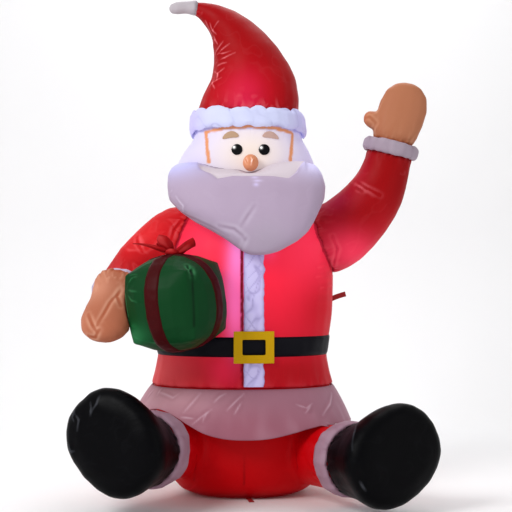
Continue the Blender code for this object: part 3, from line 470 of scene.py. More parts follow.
class Effects:
    """The shader groups that materials share, each built once."""

    def __init__(self) -> None:
        """Builds the groups."""
        self.lamp = self._painted_light_patch()
        self.nylon = self._nylon()

    def _painted_light_patch(self) -> bpy.types.NodeTree:
        """A soft oval of another colour round a place, used for painted glow from the lamps behind the cloth,
        for painted shade and painted highlights, and for a few tints of the cloth's own.
        """
        white = (1.0, 1.0, 1.0, 1.0)
        inputs = {
            "Color": ("Color", white), "Centre": ("Vector", (0.0, 0.0, 0.0)),
            "Size": ("Vector", (1.0, 1.0, 1.0)), "Tint": ("Color", white), "Amount": ("Float", 1.0)
        }
        tree, graph, start, end = new_group("lamp patch", inputs, {"Color": "Color"})
        offset = graph.maths("SUBTRACT", graph.place(), start.outputs["Centre"], kind="VectorMath")
        share = graph.maths("DIVIDE", offset, start.outputs["Size"], kind="VectorMath")
        length = graph.maths("LENGTH", share, kind="VectorMath", result=1)
        away = graph.maths("MULTIPLY", length, length)
        glow = graph.maths("POWER", 2.718, graph.maths("MULTIPLY", away, -1.0))
        amount = graph.maths("MULTIPLY", glow, start.outputs["Amount"])
        graph.set(end, Color=graph.mix(amount, start.outputs["Color"], start.outputs["Tint"]))
        return tree

    def _nylon(self) -> bpy.types.NodeTree:
        """Thin woven nylon: its weave, uneven sheen, random mottling, and the painted highlights and painted
        shade that folds, seams and the beard's shelf put on its colour.
        """
        inputs = {
            "Color": ("Color", (1.0, 1.0, 1.0, 1.0)), "Light Color": ("Color", (1.0, 1.0, 1.0, 1.0)),
            "Dark Color": ("Color", (0.0, 0.0, 0.0, 1.0)), "Thread Color": ("Color", (0.5, 0.2, 0.05, 1.0)),
            "Panel Color": ("Color", (0.5, 0.5, 0.5, 1.0)), "Fold Amount": ("Float", 0.5),
            "Roughness": ("Float", 0.45), "Mottle": ("Float", 0.06)
        }
        outputs = {"Color": "Color", "Roughness": "Float", "Height": "Float"}
        tree, graph, start, end = new_group("woven nylon", inputs, outputs)
        place = graph.place()
        weave = []
        for axis in ("X", "Y", "Z"):
            bands = graph.add("ShaderNodeTexWave", wave_type="BANDS", bands_direction=axis)
            graph.set(bands, Vector=place, Scale=95.0, Distortion=0.6, Detail=1.0)
            weave.append(bands.outputs["Fac"])
        threads = graph.maths("ADD", graph.maths("ADD", weave[0], weave[1]), weave[2])
        crumple = graph.noise(place, 26.0, 3.0)
        fine = graph.noise(place, 120.0, 2.0)
        height = graph.maths("MULTIPLY", threads, 0.03)
        for bumps, amount in ((fine, 0.10), (crumple, 0.8)):
            height = graph.maths("ADD", height, graph.maths("MULTIPLY", bumps, amount))
        graph.set(end, Height=height)
        painted = ("light", "seam", "stitch", "panel")
        reads = (graph.add("ShaderNodeAttribute", attribute_name=name) for name in painted)
        fold, seam, stitch, panel = (node.outputs["Fac"] for node in reads)
        dark = start.outputs["Dark Color"]
        amount = start.outputs["Fold Amount"]
        # painted shade: the beard shelf's grey
        first = graph.mix(panel, start.outputs["Color"], start.outputs["Panel Color"])
        # painted highlights on fold ridges and painted shade in creases
        up = graph.maths("MULTIPLY", graph.maths("MAXIMUM", fold, 0.0), amount)
        down = graph.maths(
            "MULTIPLY", graph.maths("MAXIMUM", graph.maths("MULTIPLY", fold, -1.0), 0.0), amount
        )
        colour = graph.mix(up, first, start.outputs["Light Color"])
        colour = graph.mix(down, colour, dark)
        mottle = graph.maths("MULTIPLY", graph.noise(place, 7.0, 3.0), start.outputs["Mottle"])
        colour = graph.mix(mottle, colour, dark)
        # painted shade along seams where a bag meets its neighbours
        colour = graph.mix(graph.maths("MULTIPLY", seam, 0.55), colour, dark)
        sheen = graph.maths("MULTIPLY", graph.maths("SUBTRACT", crumple, 0.5), 0.25)
        graph.set(end, Color=graph.mix(stitch, colour, start.outputs["Thread Color"]))
        graph.set(end, Roughness=graph.maths("ADD", start.outputs["Roughness"], sheen))
        return tree


def new_material(name: str) -> tuple[bpy.types.Material, Graph, bpy.types.Node]:
    """A new material, its graph and its shader."""
    made = bpy.data.materials.new(name)
    made.use_nodes = True
    return made, Graph(made.node_tree), made.node_tree.nodes["Principled BSDF"]


@dataclass(frozen=True)
class Patch:
    """A soft oval of another colour, sizes and place in units: mostly painted glow, painted shade and painted
    highlights, with a few tints of the cloth's own.
    """

    centre: Place
    size: Place
    tint: Colour
    amount: float = 1.0


@dataclass(frozen=True)
class Nylon:
    """A nylon bag's finish: colours as they look, the painted highlight and painted shade colours that its
    folds turn to, and painted glow that stands for its lamps.
    """

    name: str
    colour: Colour
    # light and dark: the painted highlight colour on fold ridges and puckers, and the painted shade colour in
    # creases and along seams; dark is also where the random mottling goes.
    light: Colour
    dark: Colour
    thread: Colour = (214, 142, 100)
    # panel: the painted grey shade on the beard's tucked shelf.
    panel: Colour = (204, 197, 198)
    # Patches on the base colour: painted light and painted shade where a part looks lighter or darker as it
    # is lit, and a few tints of the cloth's own.
    painted_shading_and_tints: tuple[Patch, ...] = ()
    # lamps: patches of painted glow for the lamps inside shining through the cloth; the dark ones are painted
    # shade where less light comes through. base_glow and glow are the painted glow's first colour and
    # strength.
    lamps: tuple[Patch, ...] = ()
    base_glow: Colour = BLACK
    glow: float = 0.6
    # fold: how strongly the painted fold highlights and painted fold shade show.
    fold: float = 0.5
    roughness: float = 0.5
    mottle: float = 0.10
    bump: float = 0.25
    gloss: float = 0.08

    def material(self) -> bpy.types.Material:
        """Builds the material from the shared groups."""
        made, graph, shader = new_material(self.name)
        base = self._patched(graph, linear(self.colour), self.painted_shading_and_tints)
        cloth = self._cloth(graph, base, 1.0)
        bump = graph.add("ShaderNodeBump")
        graph.set(bump, Strength=self.bump, Distance=0.002, Height=cloth.outputs["Height"])
        graph.set(shader, Base_Color=cloth.outputs["Color"], Roughness=cloth.outputs["Roughness"])
        graph.set(shader, Normal=bump.outputs["Normal"], Specular_IOR_Level=self.gloss)
        if self.lamps or self.base_glow != BLACK:
            glow = self._patched(graph, linear(self.base_glow), self.lamps)
            lit = self._cloth(graph, glow, 0.3)
            graph.set(shader, Emission_Color=lit.outputs["Color"], Emission_Strength=self.glow)
        return made

    def _cloth(self, graph: Graph, colour: object, share: float) -> bpy.types.Node:
        """The woven cloth.

        Args:
            graph: the material's graph.
            colour: the cloth's colour.
            share: how much of their own colours the painted fold highlights, painted shade, stitching and
                shelf keep.

        Returns:
            The group's node.
        """
        cloth = graph.add("ShaderNodeGroup", node_tree=EFFECTS.nylon)
        for name in ("light", "dark", "thread", "panel"):
            tint = [share * c for c in linear(getattr(self, name))[:3]] + [1.0]
            cloth.inputs[f"{name.title()} Color"].default_value = tint
        graph.set(cloth, Color=colour, Fold_Amount=self.fold, Roughness=self.roughness, Mottle=self.mottle)
        return cloth

    def _patched(self, graph: Graph, colour: object, patches: tuple[Patch, ...]) -> object:
        """Lays soft patches of colour over a first colour: painted glow, painted shade, painted highlights
        and a few tints.

        Args:
            graph: the material's graph.
            colour: the first colour.
            patches: the patches.

        Returns:
            The last patch's colour socket, or the first colour if there is no patch.
        """
        for patch in patches:
            node = graph.add("ShaderNodeGroup", node_tree=EFFECTS.lamp)
            centre, size = ([c * UNIT for c in place] for place in (patch.centre, patch.size))
            graph.set(
                node, Color=colour, Centre=centre, Size=size, Tint=linear(patch.tint), Amount=patch.amount
            )
            colour = node.outputs["Color"]
        return colour


@dataclass(frozen=True)
class Plastic:
    """Moulded plastic or webbing: a colour, a grain and how rough it is."""

    name: str
    colour: Colour
    roughness: float = 0.5
    grain_scale: float = 300.0
    bump: float = 0.3

    def material(self) -> bpy.types.Material:
        """Builds the material."""
        made, graph, shader = new_material(self.name)
        place = graph.place()
        spots = graph.noise(place, self.grain_scale, 2.0)
        base = linear(self.colour)
        worn = tuple(min(1.0, c * 1.5 + 0.01) for c in base[:3]) + (1.0,)
        colour = graph.mix(graph.maths("MULTIPLY", graph.noise(place, 20.0), 0.5), base, worn)
        bump = graph.add("ShaderNodeBump")
        graph.set(bump, Strength=self.bump, Distance=0.0006, Height=spots)
        graph.set(shader, Base_Color=colour, Roughness=self.roughness, Normal=bump.outputs["Normal"])
        return made


EFFECTS = Effects()


# Pieces


def dressed(
    piece: bpy.types.Object, material: bpy.types.Material, slot: str, *nodes: str
) -> bpy.types.Object:
    """Gives a piece its material and its place in the frame.

    Args:
        piece: the piece.
        material: its material.
        slot: the record's material slot; not used.
        nodes: the model's nodes that it stands for, which are hidden.

    Returns:
        The piece.
    """
    piece.data.materials.clear()
    piece.data.materials.append(material)
    piece.data.shade_smooth()
    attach(piece, BODY)
    if nodes:
        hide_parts(*nodes)
    log.info("%s: %d faces", piece.name, len(piece.data.polygons))
    return piece


def new_piece(name: str, mesh: bpy.types.Mesh) -> bpy.types.Object:
    """A new object of a mesh, in the scene."""
    piece = bpy.data.objects.new(name, mesh)
    bpy.context.scene.collection.objects.link(piece)
    return piece


def remeshed(piece: bpy.types.Object, size: float) -> None:
    """Gives a piece an even mesh.

    Args:
        piece: the piece.
        size: how far apart its vertices are, in metres.
    """
    remesh = piece.modifiers.new("even", "REMESH")
    remesh.mode, remesh.voxel_size = "VOXEL", size
    graph = bpy.context.evaluated_depsgraph_get()
    mesh = bpy.data.meshes.new_from_object(piece.evaluated_get(graph))
    piece.modifiers.clear()
    piece.data = mesh


@dataclass
class Bag:
    """A puffed bag of nylon, made from the model's plain solid."""

    node: str
    finish: Nylon
    slot: str
    touches: tuple[str, ...] = ()
    grid: float = 0.0036
    rounds: int = 30
    gather: Gather = Gather()
    folds: tuple[Fold, ...] = ()
    swell: float = 0.05
    crumple: float = 0.10
    crumple_reach: float = 4.0
    fill: float = 0.9
    seed: float = 1.0
    tight: float = 0.012

    def build(self) -> bpy.types.Object:
        """Makes the bag and gives it its finish."""
        piece = self.blank()
        distance = self.distances(coordinates(piece.data))
        self.smooth(piece.data, distance)
        cloth = Cloth.of(piece.data)
        self.shape(cloth, distance)
        cloth.finish()
        dressed(piece, self.finish.material(), self.slot, self.node)
        return piece

    def blank(self) -> bpy.types.Object:
        """An even mesh of the solid."""
        piece = new_piece(self.node + "_bag", frame["nodes"][self.node].data.copy())
        remeshed(piece, self.grid)
        return piece

    def distances(self, places: np.ndarray) -> np.ndarray:
        """How far places are from the nodes that the bag touches.

        Args:
            places: an (n, 3) array, in metres.

        Returns:
            The distances in metres, FAR at most.
        """
        if not self.touches:
            return np.full(len(places), FAR)
        tree = tree_of(*(frame["nodes"][name] for name in self.touches))
        found = (tree.find_nearest(Vector(place), FAR)[3] for place in places)
        return np.array([FAR if gap is None else gap for gap in found])

    def smooth(self, mesh: bpy.types.Mesh, distance: np.ndarray) -> None:
        """Rounds off the solid's flats without shrinking it, except where it meets its neighbours.

        Args:
            mesh: the bag's mesh.
            distance: how far each vertex is from the neighbours, in metres.
        """
        edges = links(mesh)
        places = coordinates(mesh)
        share = 0.5 * fade(distance, 0.002, self.tight)[:, None]
        soft = diffused(places, edges, self.rounds, share)
        soft += diffused(places - soft, edges, 2 * self.rounds, np.full_like(share, 0.5)) * (2 * share)
        move_to(mesh, soft)

    def shape(self, cloth: Cloth, distance: np.ndarray) -> None:
        """Adds swells, gathers and folds.

        Args:
            cloth: the bag's surface.
            distance: how far each vertex is from the neighbours, in metres.
        """
        cloth.ripple(self.swell, 6.0, self.seed)
        cloth.gather(self.gather, distance, self.seed)
        cloth.crumple(self.crumple, 3.4, self.seed + 40, np.exp(-distance / (self.crumple_reach * UNIT)))
        cloth.fold(self.folds)


@dataclass
class Drawn(Bag):
    """A bag whose mouth is drawn over its neighbour."""

    reach: Place = (0.0, 0.0, 0.0)
    mouth: float = 2.2

    def shape(self, cloth: Cloth, distance: np.ndarray) -> None:
        """Draws the mouth over, then adds the folds."""
        near = np.exp(-((distance / (self.mouth * UNIT)) ** 2))
        if any(self.reach):
            cloth.places += UNIT * near[:, None] * np.array(self.reach)
            cloth.lift += 0.5 * UNIT * near
        super().shape(cloth, distance)


@dataclass
class Ring(Bag):
    """A puffed ring sewn round a bag, with scalloped edges and gathers across it."""

    axis: Place = (0, 0, 1)
    scallop: float = 0.35
    scallop_size: float = 0.45
    pleat: float = 0.22
    pleat_size: float = 0.34
    arch: float = 0.0
    rounds: int = 8
    grid: float = 0.0026

    def shape(self, cloth: Cloth, distance: np.ndarray) -> None:
        """Shifts the edges, then gathers the ring across its width, with painted shade in the pleats and
        where it is sewn on.
        """
        axis = Vector(self.axis).normalized()
        across = axis.orthogonal().normalized()
        along = axis.cross(across)
        offset = cloth.places - (cloth.places.min(0) + cloth.places.max(0)) / 2
        height = offset @ np.array(axis)
        height = np.clip(height / np.percentile(np.abs(height), 99), -1, 1)
        turn = np.arctan2(offset @ np.array(along), offset @ np.array(across))
        circle = np.stack([np.cos(turn), np.sin(turn), np.where(height > 0, 0.0, 4.0)], axis=1)
        edge = puffs(circle, self.scallop_size, self.seed)
        shift = self.scallop * edge * height**2 * np.where(height > 0, 1.0, -0.5)
        front = np.clip(-offset[:, 1] / np.abs(offset[:, 1]).max(), 0, 1)
        shift += self.arch * front**1.5 * np.clip(0.35 - height, 0, 1.35) / 1.35
        cloth.places += (shift * UNIT)[:, None] * np.array(axis)
        circle[:, 2] = 0.12 * height
        pleats = puffs(circle, self.pleat_size, self.seed + 3)
        circle[:, 2] = 0.5 * height
        some = np.clip(0.45 + 1.5 * grain(circle, 0.4, self.seed + 9), 0, 1)
        near = some * (0.35 + 0.65 * np.abs(height) ** 1.5)
        cloth.lift += UNIT * (self.pleat * pleats * near + self.swell * grain(circle, 0.7, self.seed + 6))
        # painted shade in the pleats' valleys, and a little painted highlight on their tops
        cloth.light += 1.1 * np.minimum(pleats + 0.3, 0) * near + 0.15 * np.maximum(pleats, 0)
        # painted shade where the ring meets its neighbours
        cloth.seam = np.exp(-((distance / (0.22 * UNIT)) ** 2))
        cloth.fold(self.folds)


def shell(name: str, outer: np.ndarray, inner: np.ndarray, wrap: bool) -> bpy.types.Object:
    """A closed piece between two grids of places.

    Args:
        name: the piece's name.
        outer: an (rows, columns, 3) grid of its outer side, in metres.
        inner: the same grid of its inner side.
        wrap: whether the last column joins the first.

    Returns:
        The piece.
    """
    rows, columns, _ = outer.shape
    count = rows * columns
    index = np.arange(count).reshape(rows, columns)
    steps = columns if wrap else columns - 1
    faces: list[tuple[int, ...]] = []
    for r in range(rows - 1):
        for c in range(steps):
            n = (c + 1) % columns
            quad = (index[r, c], index[r, n], index[r + 1, n], index[r + 1, c])
            faces += [quad, tuple(count + i for i in reversed(quad))]
    sides = [((r, (c + 1) % columns), (r, c), r > 0) for r in (0, rows - 1) for c in range(steps)]
    if not wrap:
        sides += [((r + 1, c), (r, c), c == 0) for c in (0, columns - 1) for r in range(rows - 1)]
    for start, end, turn in sides:
        quad = (index[start], index[end], count + index[end], count + index[start])
        faces.append(quad[::-1] if turn else quad)
    places = np.vstack([outer.reshape(-1, 3), inner.reshape(-1, 3)])
    mesh = bpy.data.meshes.new(name)
    mesh.from_pydata(places.tolist(), [], [[int(i) for i in face] for face in faces])
    mesh.update()
    return new_piece(name, mesh)


def laid(tree: BVHTree, starts: np.ndarray, ways: np.ndarray, lift: np.ndarray) -> np.ndarray:
    """Lays a grid on a surface by a ray from each start, then lifts it back along the ray.

    Args:
        tree: the surface.
        starts: (rows, columns, 3) places that the rays leave from.
        ways: (rows, columns, 3) ways that they take.
        lift: (rows, columns) metres to stand off, towards the start; negative goes past the surface.

    Returns:
        The grid of places.
    """
    rows, columns, _ = starts.shape
    out = np.empty_like(starts)
    for r in range(rows):
        for c in range(columns):
            way = Vector(ways[r, c]).normalized()
            hit = tree.ray_cast(Vector(starts[r, c]), way)[0]
            if hit is None:
                hit = tree.find_nearest(Vector(starts[r, c]))[0]
            out[r, c] = hit - way * float(lift[r, c])
    return out


def bag_of(name: str) -> bpy.types.Object:
    """The dressed bag that stands for one of the model's nodes."""
    return bpy.data.objects[name + "_bag"]


def follow(piece: bpy.types.Object, node: str) -> None:
    """Shifts a piece by as much as the bag that carries it moved under it.

    Args:
        piece: the piece.
        node: the node that the bag stands for.
    """
    before, after = tree_of(frame["nodes"][node]), tree_of(bag_of(node))
    places = coordinates(piece.data)
    for k, place in enumerate(places):
        foot, out = before.find_nearest(Vector(place))[:2]
        hit = after.ray_cast(foot + out * 0.02, -out, 0.04)[0]
        if hit is not None:
            places[k] += np.array(hit - foot)
    move_to(piece.data, places)


def front_path(piece: str | bpy.types.Object, *points: tuple[float, float]) -> Path:
    """Places on the front of a node or a piece.

    Args:
        piece: the node's name, or the piece.
        points: each place's x and z, in units.

    Returns:
        The places in units, without those that miss it.
    """
    tree = tree_of(frame["nodes"][piece] if isinstance(piece, str) else piece)
    hits = (tree.ray_cast(Vector((x, -60.0, z)) * UNIT, Vector((0, 1, 0)))[0] for x, z in points)
    return tuple(tuple(hit / UNIT) for hit in hits if hit is not None)


@dataclass
class Trim(Bag):
    """A thin piece sewn on a bag, which goes where the bag's surface went."""

    carrier: str = "head"
    grid: float = 0.0009
    rounds: int = 6
    swell: float = 0.0
    tight: float = 0.003
    padded: bool = True

    def build(self) -> bpy.types.Object:
        """Makes the piece, moves it with its carrier and gives it its finish."""
        piece = self.blank()
        self.smooth(piece.data, self.distances(coordinates(piece.data)))
        follow(piece, self.carrier)
        cloth = Cloth.of(piece.data)
        cloth.ripple(self.swell, 1.2, self.seed, 2 * self.swell)
        cloth.fold(self.folds)
        cloth.finish()
        dressed(piece, self.finish.material(), self.slot, self.node)
        if self.padded:
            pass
        else:
            length = float(np.ptp(coordinates(piece.data)[:, 0]))
        return piece


@dataclass
class Band:
    """A flat strip sewn right round a bag, found by rays from outside towards its axis."""

    name: str
    nodes: tuple[str, ...]
    carrier: str
    slot: str
    finish: Nylon
    frame: Matrix
    width: float
    lift: float = 0.25
    columns: int = 320
    rows: int = 10
    wobble: float = 0.0
    crumple: float = 0.04
    seed: float = 3.0

    def build(self) -> bpy.types.Object:
        """Lays the strip and closes it on its inner side."""
        tree = tree_of(bag_of(self.carrier))
        turns = np.linspace(0, 2 * math.pi, self.columns, endpoint=False)
        shares = np.linspace(-1, 1, self.rows)
        starts = np.empty((self.rows, self.columns, 3))
        ways = np.empty_like(starts)
        base = self.frame.to_3x3()
        for r, share in enumerate(shares):
            for c, turn in enumerate(turns):
                out = base @ Vector((math.cos(turn), math.sin(turn), 0))
                edge = self.wobble * noise.noise(out * 5 + Vector((self.seed, share, 0)))
                side = base @ Vector((0, 0, (share * self.width / 2 + edge) * UNIT))
                starts[r, c] = self.frame.translation + side + out * 0.6
                ways[r, c] = -out
        crown = (1 - np.abs(shares) ** 6)[:, None] * np.ones((1, self.columns))
        outer = laid(tree, starts, ways, (0.04 + self.lift * crown) * UNIT)
        inner = laid(tree, starts, ways, np.full(crown.shape, -0.08 * UNIT))
        ruffle = self.crumple * UNIT * grain(outer.reshape(-1, 3), 1.6 * UNIT, self.seed).reshape(crown.shape)
        outer -= ways * (ruffle * crown)[:, :, None]
        piece = shell(self.name, outer, inner, True)
        dressed(piece, self.finish.material(), self.slot, *self.nodes)
        return piece


# Trunk


# The jacket, the sleeves and the hat are one red nylon, each given its own base colour: lit and shaded
# copies, painted for how light falls on them. RED_LIGHT is the painted highlight colour on red folds,
# WHITE_DARK the painted shade colour on white folds.
RED_LIGHT = (255, 128, 140)
WHITE_DARK = (128, 116, 170)


@dataclass
class Trunk:
    """The jacket and trousers with what is sewn on them."""

    belt_middle: float = 35.7
    belt_width: float = 4.6
    placket_x: float = 1.0
    placket_width: float = 4.7
    placket_tops: tuple[float, float] = (60.4, 33.3)
    placket_ends: tuple[float, float] = (38.1, 26.6)

    jacket: Nylon = Nylon(
        "jacket nylon", colour=(188, 14, 26), light=RED_LIGHT, dark=(120, 2, 10), thread=(112, 0, 16),
        # painted light low on the viewer's left, and painted shade low to the right
        painted_shading_and_tints=(
            Patch((-20.0, -8.0, 29.5), (9.0, 14.0, 6.0), (236, 92, 94), 0.9),
            Patch((6.0, -15.0, 29.5), (16.0, 10.0, 5.0), (158, 8, 12), 0.8)
        ),
        base_glow=(64, 0, 6),
        # painted glow over the chest and shoulders, a painted pink highlight down the placket's left edge,
        # and painted shade low down and on the right side
        lamps=(
            Patch((0.0, -14.0, 54.0), (26.0, 14.0, 18.0), (232, 44, 76), 0.95),
            Patch((-11.0, -14.0, 61.0), (9.0, 9.0, 7.0), (240, 62, 100), 0.8),
            Patch((14.0, -12.0, 60.0), (8.0, 9.0, 8.0), (240, 60, 96), 0.7),
            Patch((-2.9, -18.4, 56.0), (2.3, 5.0, 8.0), (232, 160, 250), 0.9),
            Patch((-3.2, -18.4, 45.0), (2.4, 5.0, 9.0), (246, 120, 200), 0.85),
            Patch((4.6, -18.4, 60.0), (1.6, 5.0, 3.0), (238, 100, 170), 0.7),
            Patch((-6.0, -18.0, 30.0), (3.4, 6.0, 3.4), (216, 40, 84), 0.5),
            Patch((10.0, -15.0, 30.0), (14.0, 8.0, 3.4), (80, 0, 6), 0.6),
            Patch((18.0, -12.0, 44.0), (7.0, 9.0, 6.0), (110, 4, 16), 0.7)
        ),
        glow=0.8
    )
    trousers: Nylon = Nylon(
        "trousers nylon", colour=(186, 2, 8), light=(228, 60, 72), dark=(84, 0, 4),
        # painted shade at the bottom, where the seat meets the floor
        painted_shading_and_tints=(Patch((-1.0, -8.0, 0.0), (24.0, 24.0, 1.4), (40, 2, 4), 0.95),), base_glow=(92, 0, 3),
        glow=0.6
    )
    white: Nylon = Nylon(
        "placket nylon", colour=(196, 188, 226), light=(236, 232, 250), dark=WHITE_DARK,
        base_glow=(120, 112, 160), glow=0.5, fold=0.8, bump=0.3
    )
    leather: Nylon = Nylon(
        "belt nylon", colour=(13, 12, 20), light=(60, 60, 74), dark=(3, 3, 5), roughness=0.5, bump=0.3
    )
    gold: Nylon = Nylon(
        "buckle nylon", colour=(190, 148, 8), light=(226, 196, 60), dark=(130, 96, 4), base_glow=(104, 78, 0),
        glow=0.6, bump=0.4
    )

    def jacket_folds(self) -> tuple[Fold, ...]:
        """The jacket's side wrinkles and the piping down the placket's left edge."""
        sides = (
            ((16.1, -11.4, 54.1), (19.9, -3.9, 55.6)), ((15.6, -12.0, 51.9), (19.8, -4.5, 52.9)),
            ((16.6, -10.8, 49.3), (19.8, -4.7, 50.0)), ((15.0, -12.2, 46.9), (19.6, -5.0, 47.2))
        )
        edge = front_path("jacket", (-1.75, 60.0), (-1.75, 54.0), (-1.7, 48.0), (-1.65, 42.0), (-1.6, 38.0))
        low = front_path("jacket", (-1.6, 33.0), (-1.6, 27.2))
        piping = tuple(Fold(path, 0.1, 0.5, FoldKind.STITCH) for path in (edge, low))
        return piping + tuple(Fold(path, 0.16, 0.8, RIDGE, 0.5) for path in sides)

    def trousers_folds(self) -> tuple[Fold, ...]:
        """The seat's middle seam and the wrinkles where the legs leave it."""
        seams = (
            ((-1.1, -17.4, 11.5), (-1.1, -17.4, 7.8), (-1.3, -16.4, 4.4), (-0.9, -13.2, 0.8)),
            ((-12.1, -19.1, 11.0), (-12.4, -16.1, 7.6), (-13.1, -12.9, 4.3)),
            ((10.7, -17.4, 11.5), (10.9, -17.3, 8.2), (11.6, -12.2, 4.2))
        )
        wrinkles = (((-16.9, -4.1, 1.9), (-14.2, -9.2, 1.8), (-12.6, -12.6, 3.3)),)
        made = [Fold(path, 0.2, 0.7, FoldKind.SEAM, 0.9) for path in seams]
        made += [Fold(path, 0.35, 0.9, RIDGE) for path in wrinkles]
        return tuple(made)

    def build(self) -> None:
        """Builds the trunk's pieces from the seat up."""
        seat = Bag(
            "trousers", self.trousers, "red_fabric",
            ("boot_cuff_left", "boot_cuff_right", "boot_left", "boot_right"), grid=0.005, rounds=22,
            gather=Gather(0.3, 3.0, 1.6), folds=self.trousers_folds(), crumple=0.16, seed=2.0
        )
        seat.build()
        trunk = Bag(
            "jacket", self.jacket, "red_fabric", ("head", "waving_sleeve", "carrying_sleeve", "jacket_hem"),
            grid=0.0036, rounds=34, gather=Gather(0.12, 1.6, 2.2, light=0.3), crumple=0.0,
            folds=self.jacket_folds(), seed=5.0
        )
        trunk.build()
        Skirt().build()
        around = Matrix.Translation(Vector((-1.8, 0, self.belt_middle)) * UNIT)
        Band("belt_strip", ("belt",), "jacket", "black_fabric", self.leather, around, self.belt_width).build()
        for node, top, end in zip(("placket_upper", "placket_lower"), self.placket_tops, self.placket_ends):
            self.placket(node, top, end)
        Trim(
            "belt_buckle", self.gold, "buckle_fabric", carrier="jacket", grid=0.0014, rounds=3, fill=0.4
        ).build()

    def placket(self, node: str, top: float, end: float) -> None:
        """A puffed white strip down the front.

        Args:
            node: the node that it stands for.
            top: where it starts, in units above the floor.
            end: where it ends.
        """
        tree = tree_of(bag_of("jacket"))
        rows, columns = 17, int((top - end) * 7)
        across = np.linspace(-1, 1, rows)[:, None]
        down = np.linspace(top, end, columns)[None, :]
        left, right = (
            np.array([noise.noise(Vector((x, 4, h / size))) for h in down[0]]) for x,
            size in ((0, 2.1), (7, 1.7))
        )
        half = self.placket_width / 2
        x = self.placket_x + across * half + 0.12 * np.where(across < 0, left, 0) * (across**2)
        x = x + np.where(across > 0, 0.42 * right * across**2, 0)
        starts = np.stack([x * UNIT, np.full(x.shape, -0.5), down * UNIT * np.ones(x.shape)], axis=2)
        ways = np.zeros_like(starts)
        ways[:, :, 1] = 1
        crown = (1 - np.abs(across) ** 4) * np.ones((1, columns))
        flat = np.stack(
            [starts[:, :, 0], starts[:, :, 2] + 0.8 * starts[:, :, 0], 0 * starts[:, :, 0]], axis=2
        )
        creases = puffs(flat.reshape(-1, 3), 3.2 * UNIT, 8.0).reshape(crown.shape)
        cross = flat + np.array([0, 0, 5.0])
        cross[:, :, 1] -= 1.9 * starts[:, :, 0]
        creases = np.minimum(creases, puffs(cross.reshape(-1, 3), 3.6 * UNIT, 9.0).reshape(crown.shape))
        lift = 0.06 + 0.42 * crown + 0.07 * creases * crown
        outer = laid(tree, starts, ways, lift * UNIT)
        inner = laid(tree, starts, ways, np.full(crown.shape, -0.1 * UNIT))
        piece = shell(node + "_strip", outer, inner, False)
        # painted shade along both edges and in the creases, with a little painted highlight
        rim = np.abs(across) ** 10 * np.ones((1, columns))
        light = 1.1 * np.minimum(creases + 0.3, 0.1) * crown
        for name, values in (("seam", rim), ("light", light)):
            paint(piece.data, name, np.concatenate([values.ravel(), np.zeros(rows * columns)]))
        dressed(piece, self.white.material(), "white_fabric", node)


